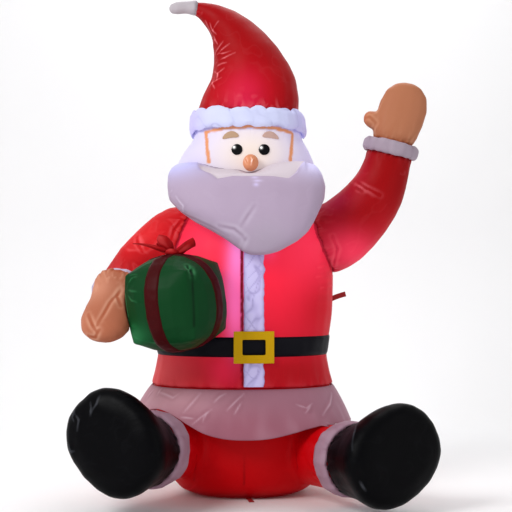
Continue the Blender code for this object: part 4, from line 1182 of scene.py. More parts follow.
@dataclass
class Skirt:
    """The loose white hem, a translucent sheet that flares out over the legs, whose pink from the red behind
    it is painted into its colour.
    """

    top: float = 26.0
    top_centre: Place = (-1.894, 0.0, 0.0)
    top_half: tuple[float, float] = (21.95, 18.36)
    rim_centre: Place = (-2.2, -0.6, 0.0)
    rim_half: tuple[float, float] = (27.15, 23.35)
    rim_height: float = 14.8
    side_lift: float = 2.6
    leg_turns: tuple[float, float] = (-48.59, -131.39)
    leg_lifts: tuple[float, float] = (1.85, 5.573)
    leg_span: float = 16.0
    power: float = 2.15
    flare: float = 0.85
    thickness: float = 0.12
    search: float = 0.03
    clearance: float = 0.002
    columns: int = 450
    rows: int = 40
    # Painted light: the white hem is coloured pink for the red shining through it, with painted light at the
    # sides and painted shade low in front.
    cloth: Nylon = Nylon(
        "hem nylon", colour=(160, 110, 126), light=(208, 178, 192), dark=(120, 66, 80),
        painted_shading_and_tints=(
            Patch((-18.0, -12.0, 23.5), (12.0, 16.0, 5.0), (204, 156, 166), 0.9),
            Patch((22.0, -8.0, 22.0), (9.0, 16.0, 6.0), (178, 138, 155), 0.6),
            Patch((-2.0, -22.0, 17.0), (16.0, 8.0, 5.0), (152, 84, 100), 0.6)
        ),
        base_glow=(30, 8, 14), glow=0.5, fold=0.6, roughness=0.5, bump=0.3
    )

    def point(self, turn: float, share: float) -> Vector:
        """A place on the sheet.

        Args:
            turn: which way it faces from the middle, in radians.
            share: how far it is from the seam, at 0, to the rim, at 1.

        Returns:
            The place, in units.
        """
        sides = [math.copysign(abs(s) ** (2 / self.power), s) for s in (math.cos(turn), math.sin(turn))]
        height = self.rim_height + self.side_lift * math.cos(turn) ** 2
        for leg, lift in zip(self.leg_turns, self.leg_lifts):
            away = math.remainder(turn - math.radians(leg), 2 * math.pi)
            height += lift * math.exp(-((away / math.radians(self.leg_span)) ** 2) / 2)
        ease = share**self.flare
        place = Vector((0, 0, self.top + (height - self.top) * share))
        for k in range(2):
            start = self.top_centre[k] + self.top_half[k] * sides[k]
            end = self.rim_centre[k] + self.rim_half[k] * sides[k]
            place[k] = start + (end - start) * ease
        return place

    def creases(self, piece: bpy.types.Object) -> tuple[Path, ...]:
        """The sharp creases on the sheet's front, most of them to the viewer's left."""
        paths = (
            ((-21.6, 24.3), (-20.8, 25.7), (-19.7, 26.6)),
            ((-21.3, 24.9), (-19.3, 24.5), (-17.7, 24.0), (-16.3, 25.0), (-16.0, 26.3)),
            ((-18.9, 26.6), (-19.9, 24.9)), ((-13.2, 18.3), (-11.0, 20.0), (-8.7, 21.7)),
            ((-15.0, 21.0), (-12.9, 23.3), (-11.3, 25.2)), ((-10.7, 19.1), (-9.6, 21.0)),
            ((-5.2, 21.5), (-3.0, 23.6), (-1.3, 25.2)), ((-3.4, 20.7), (-2.6, 22.1), (-1.9, 23.3)),
            ((-15.5, 20.0), (-12.5, 19.7)), ((-24.5, 23.3), (-23.5, 24.5), (-23.0, 25.2)),
            ((-8.1, 23.3), (-6.8, 24.5), (-5.5, 25.2)), ((10.8, 22.6), (13.1, 21.7), (14.5, 22.7)),
            ((12.8, 20.7), (14.1, 22.0)), ((16.9, 20.0), (18.9, 22.3), (19.5, 24.5))
        )
        return tuple(front_path(piece, *path) for path in paths)

    def build(self) -> bpy.types.Object:
        """Hangs the sheet in soft folds, clear of the trousers."""
        turns = np.linspace(0, 2 * math.pi, self.columns, endpoint=False)
        outer = np.empty((self.rows, self.columns, 3))
        outs = np.empty_like(outer)
        creases = np.empty((self.rows, self.columns))
        seat = tree_of(bag_of("trousers"))
        for c, turn in enumerate(turns):
            across = Vector(
                (math.cos(turn) / self.top_half[0], math.sin(turn) / self.top_half[1], 0)
            ).normalized()
            round_place = Vector((math.cos(turn), math.sin(turn), 0))
            for r in range(self.rows):
                share = r / (self.rows - 1)
                place = self.point(turn, share)
                folds = noise.noise(round_place * 3.1 + Vector((0, 0, share * 0.5 + 3)))
                fine = noise.noise(round_place * 9.0 + Vector((0, 0, share * 1.6 + 9)))
                pinch = math.exp(-share / 0.16)
                lift = share * (0.5 * folds + 0.22 * fine)
                lift += pinch * 0.12 * noise.noise(round_place * 26.0)
                metres = (place + across * lift) * UNIT
                hit = seat.ray_cast(metres + across * self.search, -across, 2 * self.search)[0]
                if hit is not None and (metres - hit).dot(across) < self.clearance:
                    metres = hit + across * self.clearance
                outer[r, c] = metres
                outs[r, c] = across
                creases[r, c] = 0.3 * fine * share
        inner = outer - outs * (self.thickness * UNIT)
        piece = shell("hem_skirt", outer, inner, True)
        shares = np.linspace(0, 1, self.rows)[:, None] * np.ones((1, self.columns))
        cloth = Cloth.of(piece.data)
        # painted highlights and painted shade on the folds, and painted shade under the jacket at the top and
        # along the rim
        cloth.light = np.tile(creases.ravel(), 2)
        cloth.seam = np.tile((0.5 * np.exp(-19 * (1 - shares)) + 0.9 * np.exp(-25 * shares)).ravel(), 2)
        # painted highlights along the raised creases
        cloth.fold(tuple(Fold(path, 0.16, 0.8, RIDGE, 0.9) for path in self.creases(piece)))
        cloth.finish()
        dressed(piece, self.cloth.material(), "hem_fabric", "jacket_hem")
        return piece


# Head


@dataclass
class Beard(Bag):
    """The beard's bag, tucked in above its rim to make a shelf under the face, with a painted grey shade on
    the shelf.
    """

    rim: tuple[tuple[float, float], ...] = (
        (-11.5, 77.5), (-9.2, 75.9), (-7.3, 74.4), (-3.9, 75.1), (5.5, 75.0), (9.0, 74.6), (10.6, 75.9),
        (13.0, 78.4)
    )
    crest: tuple[tuple[float, float], ...] = (
        (-13.0, 0.0), (-10.0, -0.9), (0.0, -1.3), (3.0, -0.9), (7.0, 0.5), (13.0, 0.9)
    )
    front: float = -11.0
    tuck: float = 0.5

    def shape(self, cloth: Cloth, distance: np.ndarray) -> None:
        """Tucks the shelf in, then adds the folds."""
        x, y, z = cloth.places.T / UNIT
        facing = fade(-y, -self.front, 2 - self.front)
        above = z - np.interp(x, *zip(*self.rim))
        inside = facing * fade(x, -12.4, -11.2) * (1 - fade(x, 12.6, 13.6))
        shelf = inside * fade(above, 0.0, 0.35)
        cloth.places[:, 2] += UNIT * np.interp(x, *zip(*self.crest)) * inside * fade(z, 75.6, 78.2)
        hollow = np.exp(-(((x - 0.2) / 2.3) ** 2) - ((y + 15.0) / 2.6) ** 2) * fade(z, 74.6, 76.4)
        cloth.places[:, 2] -= 1.1 * UNIT * hollow
        cloth.lift -= self.tuck * UNIT * shelf
        # the shelf's grey is painted shade
        cloth.panel = shelf
        super().shape(cloth, distance)


@dataclass
class Nose(Bag):
    """The whole round nose, which the beard's top hides the foot of in the model."""

    centre: Place = (0.2, -14.5, 78.6)
    half: Place = (1.85, 1.95, 2.0)

    def blank(self) -> bpy.types.Object:
        """An even ball at the nose's place."""
        ball = bmesh.new()
        bmesh.ops.create_uvsphere(ball, u_segments=96, v_segments=64, radius=1.0)
        size = Matrix.Diagonal((*(UNIT * half for half in self.half), 1.0))
        ball.transform(Matrix.Translation(Vector(self.centre) * UNIT) @ size)
        mesh = bpy.data.meshes.new("nose_bag")
        ball.to_mesh(mesh)
        ball.free()
        return new_piece("nose_bag", mesh)


@dataclass
class Head:
    """The head with its sewn face, and the beard in front of it."""

    skin: Nylon = Nylon(
        "face nylon", colour=(200, 192, 210), light=(235, 235, 250), dark=(160, 156, 205),
        # The face panel's own warm colour, with the painted glow of the lamp behind the face over it.
        painted_shading_and_tints=(Patch((0.2, -13.0, 81.0), (11.0, 7.0, 8.0), (206, 194, 184), 0.9),),
        base_glow=(132, 132, 186),
        lamps=(Patch((0.2, -13.0, 81.0), (11.0, 7.0, 8.0), (198, 184, 172), 0.98),), glow=0.6, fold=0.7,
        mottle=0.03, bump=0.12
    )
    beard: Nylon = Nylon(
        "beard nylon", colour=(176, 158, 180), light=(228, 220, 236), dark=(120, 100, 118),
        # panel: the shelf's painted grey shade
        panel=(200, 188, 196),
        # painted light on the top corners, where the hair catches the glow, and painted shade low on the left
        # and at the front
        painted_shading_and_tints=(
            Patch((-17.0, -12.0, 78.6), (7.5, 12.0, 3.6), (190, 190, 234), 0.95),
            Patch((16.5, -12.0, 78.6), (7.0, 12.0, 3.6), (206, 202, 236), 0.95),
            Patch((-16.0, -15.0, 66.0), (5.0, 8.0, 6.0), (156, 140, 158), 0.6),
            Patch((4.0, -22.0, 61.0), (5.0, 4.0, 4.0), (166, 156, 170), 0.6)
        ),
        base_glow=(60, 48, 66),
        # painted glow on the top corners, and three small painted glows under the rim for light leaking
        # through the beard
        lamps=(
            Patch((-16.0, -12.0, 78.4), (6.5, 12.0, 3.0), (112, 112, 172), 0.9),
            Patch((15.5, -12.0, 78.4), (6.0, 12.0, 3.0), (132, 128, 176), 0.9),
            Patch((1.2, -22.5, 74.6), (0.8, 2.4, 0.3), (190, 190, 235), 0.9),
            Patch((1.8, -22.7, 73.8), (0.95, 2.4, 0.3), (190, 190, 235), 0.9),
            Patch((1.5, -22.9, 72.9), (0.6, 2.4, 0.45), (180, 180, 235), 0.9)
        ),
        glow=0.55, fold=0.7, bump=0.15
    )
    flesh: Nylon = Nylon(
        "nose nylon", colour=(222, 150, 112), light=(255, 225, 215), dark=(170, 84, 48),
        base_glow=(70, 34, 22), fold=1.0
    )

    def seams(self) -> tuple[Fold, ...]:
        """The stitching round the face panel, whose orange is painted glow where the lit cloth lies double.
        """
        paths = (
            ((-10.5, -9.3, 86.2), (-10.1, -11.0, 82.4), (-9.6, -11.7, 79.0)),
            ((10.2, -8.6, 85.8), (9.9, -10.1, 82.5), (9.7, -10.8, 79.6)),
            (
                (-10.7, -9.1, 86.3), (-6.3, -11.8, 87.1), (-0.1, -12.5, 87.5), (6.2, -11.5, 87.2),
                (10.3, -8.5, 86.2)
            )
        )
        return tuple(Fold(path, 0.06, 0.62, FoldKind.STITCH) for path in paths)

    def beard_folds(self) -> tuple[Fold, ...]:
        """The beard's rim, its split and the wrinkles along its lower edge."""
        rim = (
            (-11.5, -17.3, 77.4), (-9.2, -19.9, 75.9), (-7.3, -21.2, 74.4), (-3.9, -20.8, 75.1),
            (-1.1, -20.9, 75.2), (5.5, -20.8, 75.0), (9.0, -20.4, 74.6), (10.6, -19.2, 75.9),
            (13.0, -14.4, 78.3)
        )
        split = ((1.1, -23.7, 68.0), (-0.5, -24.1, 65.6), (-1.9, -24.0, 63.4))
        tuck = ((-6.9, -23.1, 63.5), (-3.5, -23.7, 62.7), (-1.6, -23.6, 61.2), (-1.1, -23.5, 60.3))
        tip = ((-0.8, -23.6, 60.7), (-2.0, -21.4, 58.0))
        edge = (
            (-18.7, -16.7, 70.2), (-15.3, -18.9, 66.6), (-12.2, -21.1, 64.9), (-8.2, -22.2, 63.0),
            (-4.9, -22.7, 61.1)
        )
        wrinkles = (
            ((-17.9, -18.2, 71.9), (-18.4, -16.8, 69.7), (-17.2, -17.6, 68.3)),
            ((-16.9, -19.5, 70.4), (-15.0, -20.8, 68.1), (-15.2, -19.9, 66.8))
        )
        return (
            Fold(rim, 0.25, 0.5, FoldKind.SEAM, 0.3), Fold(rim[:3], 0.1, 0.4, RIDGE, 1.0),
            Fold(rim[-3:], 0.1, 0.4, RIDGE, 1.0), Fold(split, 0.22, 0.9, light=0.5),
            Fold(tuck, 0.3, 0.9, light=0.7), Fold(tip, 0.3, 0.8, light=0.6), Fold(edge, 0.22, 0.9, light=0.5),
            *(Fold(path, 0.22, 0.7, RIDGE) for path in wrinkles)
        )

    def build(self) -> None:
        """Builds the head, its beard and the face."""
        Bag(
            "head", self.skin, "white_fabric", ("hat_band", "jacket"), grid=0.0035,
            gather=Gather(0.07, 1.2, 0.9, 0.05), folds=self.seams(), crumple=0.0, swell=0.0, rounds=20,
            seed=7.0
        ).build()
        Beard(
            "beard", self.beard, "beard_fabric", ("head",), grid=0.003, gather=Gather(0.12, 1.8, 1.6),
            folds=self.beard_folds(), swell=0.12, rounds=38, seed=8.0
        ).build()
        Nose(
            "nose", self.flesh, "skin_fabric",
            # painted highlights on the crumpled tip, and painted shade in one crease
            folds=(
                Fold(((0.2, -16.1, 80.1), (0.5, -16.4, 79.2), (0.3, -16.3, 77.9)), 0.08, 0.55, RIDGE, 1.0),
                Fold(((0.9, -16.0, 79.6), (0.4, -16.4, 78.7)), 0.06, 0.4, RIDGE, 0.9),
                Fold(((-1.2, -15.7, 79.8), (-0.6, -16.2, 78.4)), 0.06, 0.4, light=0.8)
            ),
            crumple=0.0, swell=0.1, rounds=1, seed=9.0
        ).build()
        dots = ((-3.7, 82.45), (2.7, 82.35))
        for side, (x, z) in zip(("right", "left"), dots):
            # spark: each eye's printed white dot, with painted glow on it as well
            spark = Patch((x, -13.0, z), (0.3, 4.0, 0.3), (255, 255, 255), 1.0)
            eye = Nylon(
                f"{side} eye nylon", (10, 10, 14), (60, 60, 70), BLACK, painted_shading_and_tints=(spark,), lamps=(spark,)
            )
            Trim(f"eye_{side}", eye, "black_fabric", rounds=12, padded=False).build()
        # The two brows are one fabric given two colours: painted light on the left one and painted shade on
        # the right.
        for side, tint in (("left", (196, 162, 152)), ("right", (182, 150, 122))):
            brow = Nylon(f"{side} brow nylon", tint, (216, 192, 180), (150, 114, 94), base_glow=(50, 38, 32))
            Trim(f"brow_{side}", brow, "brow_fabric", rounds=12, padded=False).build()


# Hat


@dataclass
class Hat:
    """The pointed hat, its gathered band and its tip."""

    red: Nylon = Nylon(
        "hat nylon", colour=(150, 4, 8), light=(255, 150, 158), dark=(110, 2, 8), base_glow=(56, 0, 4),
        # painted glow of the lamp at the hat's foot, and painted shade on the viewer's right
        lamps=(
            Patch((-1.6, -12.0, 95.0), (4.0, 7.0, 4.6), (236, 70, 150), 0.8),
            Patch((-2.0, -11.0, 96.0), (11.0, 10.0, 8.0), (186, 16, 34), 0.75),
            Patch((11.0, -6.0, 97.0), (4.0, 9.0, 10.0), (66, 4, 6), 0.8)
        ),
        glow=0.75, fold=0.75
    )
    trim: Nylon = Nylon(
        "hat band nylon", colour=(196, 200, 226), light=(235, 238, 255), dark=(128, 124, 172),
        # painted shade at the band's sides
        painted_shading_and_tints=(
            Patch((-13.5, -4.0, 89.0), (4.0, 8.0, 5.0), (186, 172, 226), 0.8),
            Patch((12.5, -4.0, 89.0), (4.0, 8.0, 5.0), (186, 172, 226), 0.8)
        ),
        base_glow=(124, 126, 160), glow=0.5, fold=0.8
    )
    tip: Nylon = Nylon("hat tip nylon", (182, 174, 180), (226, 222, 228), (130, 120, 128))

    def crinkles(self) -> tuple[Fold, ...]:
        """The wrinkles down the hat's hollow side, with painted highlights along them."""
        paths = (
            ((-10.9, 114.7), (-10.5, 112.8), (-9.2, 111.4)), ((-9.7, 113.8), (-8.9, 112.1), (-8.0, 110.9)),
            ((-7.6, 114.0), (-8.8, 111.9), (-9.6, 110.1)), ((-10.2, 111.9), (-8.6, 110.7), (-7.6, 108.3)),
            ((-6.4, 108.8), (-7.6, 107.1), (-8.6, 105.2)), ((-4.9, 108.0), (-6.4, 106.9), (-8.2, 104.8)),
            ((-3.5, 105.7), (-5.9, 104.7), (-8.3, 103.8)), ((-8.4, 106.1), (-6.3, 105.8), (-4.5, 106.1)),
            ((-5.6, 103.5), (-7.8, 103.0)), ((-6.2, 102.1), (-7.4, 100.9), (-7.8, 99.0)),
            ((-8.5, 101.9), (-7.4, 100.7), (-7.6, 99.6)), ((-6.8, 99.7), (-8.3, 98.6), (-9.6, 97.6)),
            ((-8.3, 99.7), (-8.7, 98.1), (-8.3, 97.0)), ((-8.1, 109.7), (-8.9, 108.3))
        )
        return tuple(Fold(front_path("hat", *path), 0.3, 0.7, RIDGE, 0.65) for path in paths)

    def build(self) -> None:
        """Builds the hat from its band to its tip."""
        Bag(
            "hat", self.red, "red_fabric", ("hat_band", "hat_tip"), grid=0.0031, rounds=32,
            gather=Gather(0.18, 1.6, 1.2), folds=self.crinkles(), swell=0.16, seed=11.0
        ).build()
        Ring(
            "hat_band", self.trim, "white_fabric", ("hat", "head"), scallop=0.6, scallop_size=0.27,
            pleat=0.14, pleat_size=0.3, arch=1.15, swell=0.25, seed=12.0
        ).build()
        Drawn(
            "hat_tip", self.tip, "white_fabric", ("hat",), grid=0.0014, gather=Gather(0.14, 1.2, 1.0),
            swell=0.2, rounds=12, seed=13.0, reach=(0.8, 0.0, 0.0), mouth=1.2
        ).build()


# Arms


@dataclass
class Arms:
    """Both sleeves with their cuffs and mittens."""

    # Each pair of sleeves, cuffs and mittens is one fabric, given two colours: lit and shaded copies, painted
    # for how light falls on them.
    waving: Nylon = Nylon(
        "waving sleeve nylon", colour=(150, 6, 9), light=RED_LIGHT, dark=(100, 2, 8), base_glow=(58, 0, 4),
        # painted glow low on the sleeve, purple painted glow along its inner edge, and painted shade across
        # the middle and high on the outer side
        lamps=(
            Patch((24.5, -5.0, 58.5), (7.5, 9.0, 5.4), (255, 66, 104), 0.92),
            Patch((30.5, -3.0, 65.0), (5.5, 9.0, 5.5), (170, 20, 36), 0.6),
            Patch((34.0, -3.0, 80.0), (6.0, 9.0, 7.0), (14, 0, 0), 0.9),
            Patch((27.0, -8.0, 69.0), (4.5, 9.0, 4.5), (16, 0, 0), 0.8),
            Patch((19.5, -5.0, 71.0), (5.5, 9.0, 3.4), (130, 22, 66), 0.7),
            Patch((26.0, -5.0, 79.0), (2.6, 9.0, 6.0), (130, 34, 62), 0.6)
        ),
        glow=0.75
    )
    carrying: Nylon = Nylon(
        "carrying sleeve nylon", colour=(190, 20, 26),
        # painted shade low on the sleeve; the lamps give painted glow higher up and more painted shade by the
        # cuff
        painted_shading_and_tints=(Patch((-31.0, -14.0, 54.0), (6.0, 8.0, 4.0), (160, 16, 20), 0.8),),
        lamps=(
            Patch((-23.0, -12.0, 61.0), (7.0, 9.0, 4.5), (170, 30, 36), 0.8),
            Patch((-33.5, -14.0, 53.0), (6.0, 9.0, 3.6), (76, 4, 8), 0.8)
        ),
        light=(255, 130, 136), dark=(130, 4, 10), base_glow=(110, 10, 14), glow=0.7, fold=0.7
    )
    # The two cuffs are one white fabric: a darker shaded copy on the waving arm, and a lit copy with painted
    # glow on the carrying arm.
    shaded_cuff: Nylon = Nylon("sleeve cuff nylon", (164, 148, 162), (222, 214, 228), (110, 92, 112), fold=0.8)
    lit_cuff: Nylon = Nylon(
        "carrying cuff nylon", (184, 170, 192), (236, 230, 245), (128, 108, 146), base_glow=(44, 36, 54),
        fold=0.8
    )
    high_flesh: Nylon = Nylon(
        "waving mitten nylon", colour=(176, 114, 84), light=(226, 174, 142), dark=(150, 74, 40),
        # a patch of painted shade in a darker orange
        painted_shading_and_tints=(Patch((26.0, -4.0, 91.0), (2.6, 4.0, 2.6), (198, 106, 74), 0.8),), base_glow=(44, 22, 12),
        fold=0.6
    )
    low_flesh: Nylon = Nylon(
        "carrying mitten nylon", colour=(168, 100, 74), light=(238, 190, 162), dark=(140, 58, 28),
        # patches of painted light on the hand
        painted_shading_and_tints=(
            Patch((-35.0, -22.0, 50.0), (4.0, 8.0, 4.0), (204, 142, 116), 0.8),
            Patch((-37.5, -28.0, 41.0), (1.6, 8.0, 5.0), (190, 122, 96), 0.8)
        ),
        base_glow=(44, 18, 10), fold=0.8
    )

    def sleeve(
        self, side: str, finish: Nylon, seed: float, paths: tuple[Path, ...], creases: tuple[Line, ...]
    ) -> None:
        """A sleeve, gathered at the shoulder and the cuff.

        Args:
            side: which arm.
            finish: its nylon.
            seed: what its random folds start from.
            paths: its raised wrinkles.
            creases: its creases, by x and z.
        """
        folds = tuple(Fold(path, 0.5, 1.6, RIDGE, 0.25) for path in paths)
        folds += tuple(Fold(front_path(f"{side}_sleeve", *line), 0.3, 0.8, light=0.9) for line in creases)
        Bag(
            f"{side}_sleeve", finish, "red_fabric", ("jacket", f"{side}_cuff", f"{side}_mitten"),
            gather=Gather(0.2, 2.2, 1.7, light=0.3), grid=0.0036, crumple=0.16, folds=folds, seed=seed
        ).build()

    def cuff(self, side: str, finish: Nylon, seed: float, axis: Place) -> None:
        """A cuff, pleated round its axis."""
        Ring(
            f"{side}_cuff", finish, "white_fabric", (f"{side}_sleeve", f"{side}_mitten"), axis=axis,
            scallop=0.25, scallop_size=0.5, pleat=0.1, pleat_size=0.45, grid=0.0022, swell=0.15, seed=seed
        ).build()

    def mitten(self, side: str, finish: Nylon, seed: float, reach: Place, paths: tuple[Path, ...]) -> None:
        """A mitten, gathered at the cuff.

        Args:
            side: which arm.
            finish: its nylon.
            seed: what its random folds start from.
            reach: how far its mouth is drawn over the cuff, in units.
            paths: its creases.
        """
        folds = tuple(Fold(path, 0.22, 0.8, light=0.8) for path in paths)
        Drawn(
            f"{side}_mitten", finish, "skin_fabric", (f"{side}_cuff", f"{side}_sleeve"),
            gather=Gather(0.18, 1.8, 1.2), grid=0.0025, folds=folds, swell=0.12, rounds=20, seed=seed,
            reach=reach
        ).build()

    def build(self) -> None:
        """Builds both arms from the shoulder out."""
        self.sleeve(
            "waving", self.waving, 21.0,
            (
                ((24.2, -3.4, 74.8), (25.9, -6.9, 73.8), (27.7, -8.5, 72.2)),
                ((25.4, -3.7, 76.0), (27.7, -8.0, 73.7), (29.1, -8.9, 71.2))
            ),
            (
                ((24.0, 74.6), (25.6, 73.2), (27.0, 72.4)), ((26.2, 74.3), (27.8, 73.1), (31.0, 71.4)),
                ((19.6, 61.6), (20.9, 58.6), (20.3, 55.6), (20.0, 53.4))
            )
        )
        self.sleeve(
            "carrying", self.carrying, 22.0,
            (
                ((-30.5, -9.9, 58.6), (-27.9, -14.4, 57.7), (-24.2, -14.2, 57.5)),
                ((-25.4, -14.4, 57.7), (-25.0, -13.0, 59.7), (-26.2, -10.7, 61.6)),
                ((-24.2, -14.2, 57.5), (-22.9, -13.3, 58.5), (-21.6, -11.9, 60.4))
            ),
            (((-16.2, 65.6), (-18.0, 63.2), (-18.6, 60.8)), ((-26.6, 61.6), (-26.2, 59.4), (-25.2, 57.6)))
        )
        self.cuff("waving", self.shaded_cuff, 23.0, (0.23, -0.066, 0.971))
        self.cuff("carrying", self.lit_cuff, 24.0, (-0.18, -0.81, -0.56))
        self.mitten(
            "waving", self.high_flesh, 25.0, (0, 0, 0),
            (
                ((27.6, -4.2, 90.4), (28.9, -5.4, 90.7), (30.3, -5.7, 89.2)),
                ((29.4, -5.1, 91.7), (31.0, -4.2, 92.8), (31.9, -4.9, 94.7)),
                ((30.3, -5.7, 89.2), (30.0, -4.2, 87.5), (30.0, -3.9, 86.1))
            )
        )
        self.mitten(
            "carrying", self.low_flesh, 26.0, (0.0, -0.6, 2.6),
            (
                ((-34.9, -21.8, 48.5), (-33.2, -21.0, 50.3), (-31.3, -21.6, 50.7)),
                ((-29.2, -23.5, 48.9), (-31.2, -26.1, 46.2), (-32.3, -28.4, 43.8), (-33.5, -30.4, 41.2)),
                ((-28.7, -22.4, 49.8), (-29.8, -24.9, 47.6), (-28.7, -26.6, 45.4)),
                ((-35.9, -27.6, 43.6), (-34.7, -30.0, 41.4), (-33.5, -30.9, 39.7)),
                ((-35.7, -29.5, 38.8), (-34.0, -30.3, 38.4), (-33.0, -31.0, 40.2))
            )
        )


# Legs


@dataclass
class Legs:
    """Both boots with their cuffs."""

    axes: dict[str, Place] = field(
        default_factory=lambda: {"left": (0.485, -0.874, 0.035), "right": (-0.39, -0.919, 0.061)}
    )

    # light: the painted highlight colour on the boots' crinkles and creases
    black: Nylon = Nylon(
        "boot nylon", colour=(4, 4, 6), light=(96, 98, 106), dark=(1, 1, 2), roughness=0.42, fold=0.5,
        bump=0.3, gloss=0.05
    )
    cuff: Nylon = Nylon(
        "boot cuff nylon", colour=(158, 126, 142), light=(210, 192, 206), dark=(108, 76, 90),
        base_glow=(36, 16, 22), fold=0.8
    )

    def build(self) -> None:
        """Builds each boot and its cuff."""
        creases = {
            "left": (((24.1, -33.2, 20.6), (22.7, -37.6, 19.0), (21.8, -40.5, 15.1)),),
            "right": (
                ((-37.8, -33.1, 22.4), (-36.7, -34.5, 20.8), (-37.1, -34.6, 18.6)),
                ((-32.2, -35.6, 26.1), (-32.6, -35.9, 24.4), (-33.7, -35.9, 22.6))
            )
        }
        # raised crinkles, with painted highlights along them as the creases have
        crinkles = {
            "left": (((23.4, 8.6), (24.6, 6.6)),),
            "right": (
                ((-37.6, 23.2), (-38.2, 21.2), (-37.6, 20.2)), ((-34.1, 24.6), (-33.8, 23.7), (-34.1, 21.9)),
                ((-39.2, 15.4), (-38.6, 13.9), (-37.8, 14.1))
            )
        }
        for seed, (side, paths) in enumerate(creases.items(), 31):
            Bag(
                f"boot_{side}", self.black, "black_fabric", (f"boot_cuff_{side}",), grid=0.0034,
                gather=Gather(0.28, 2.6, 1.6),
                folds=tuple(
                    Fold(path, 0.3, 1.0, RIDGE, 0.8)
                    for path in (*paths, *(front_path(f"boot_{side}", *line) for line in crinkles[side]))
                ),
                swell=0.2, seed=seed
            ).build()
            Ring(
                f"boot_cuff_{side}", self.cuff, "white_fabric", (f"boot_{side}", "trousers"),
                axis=self.axes[side], scallop=0.3, scallop_size=0.5, pleat=0.14, pleat_size=0.4, swell=0.35,
                seed=seed + 4
            ).build()


# Gift


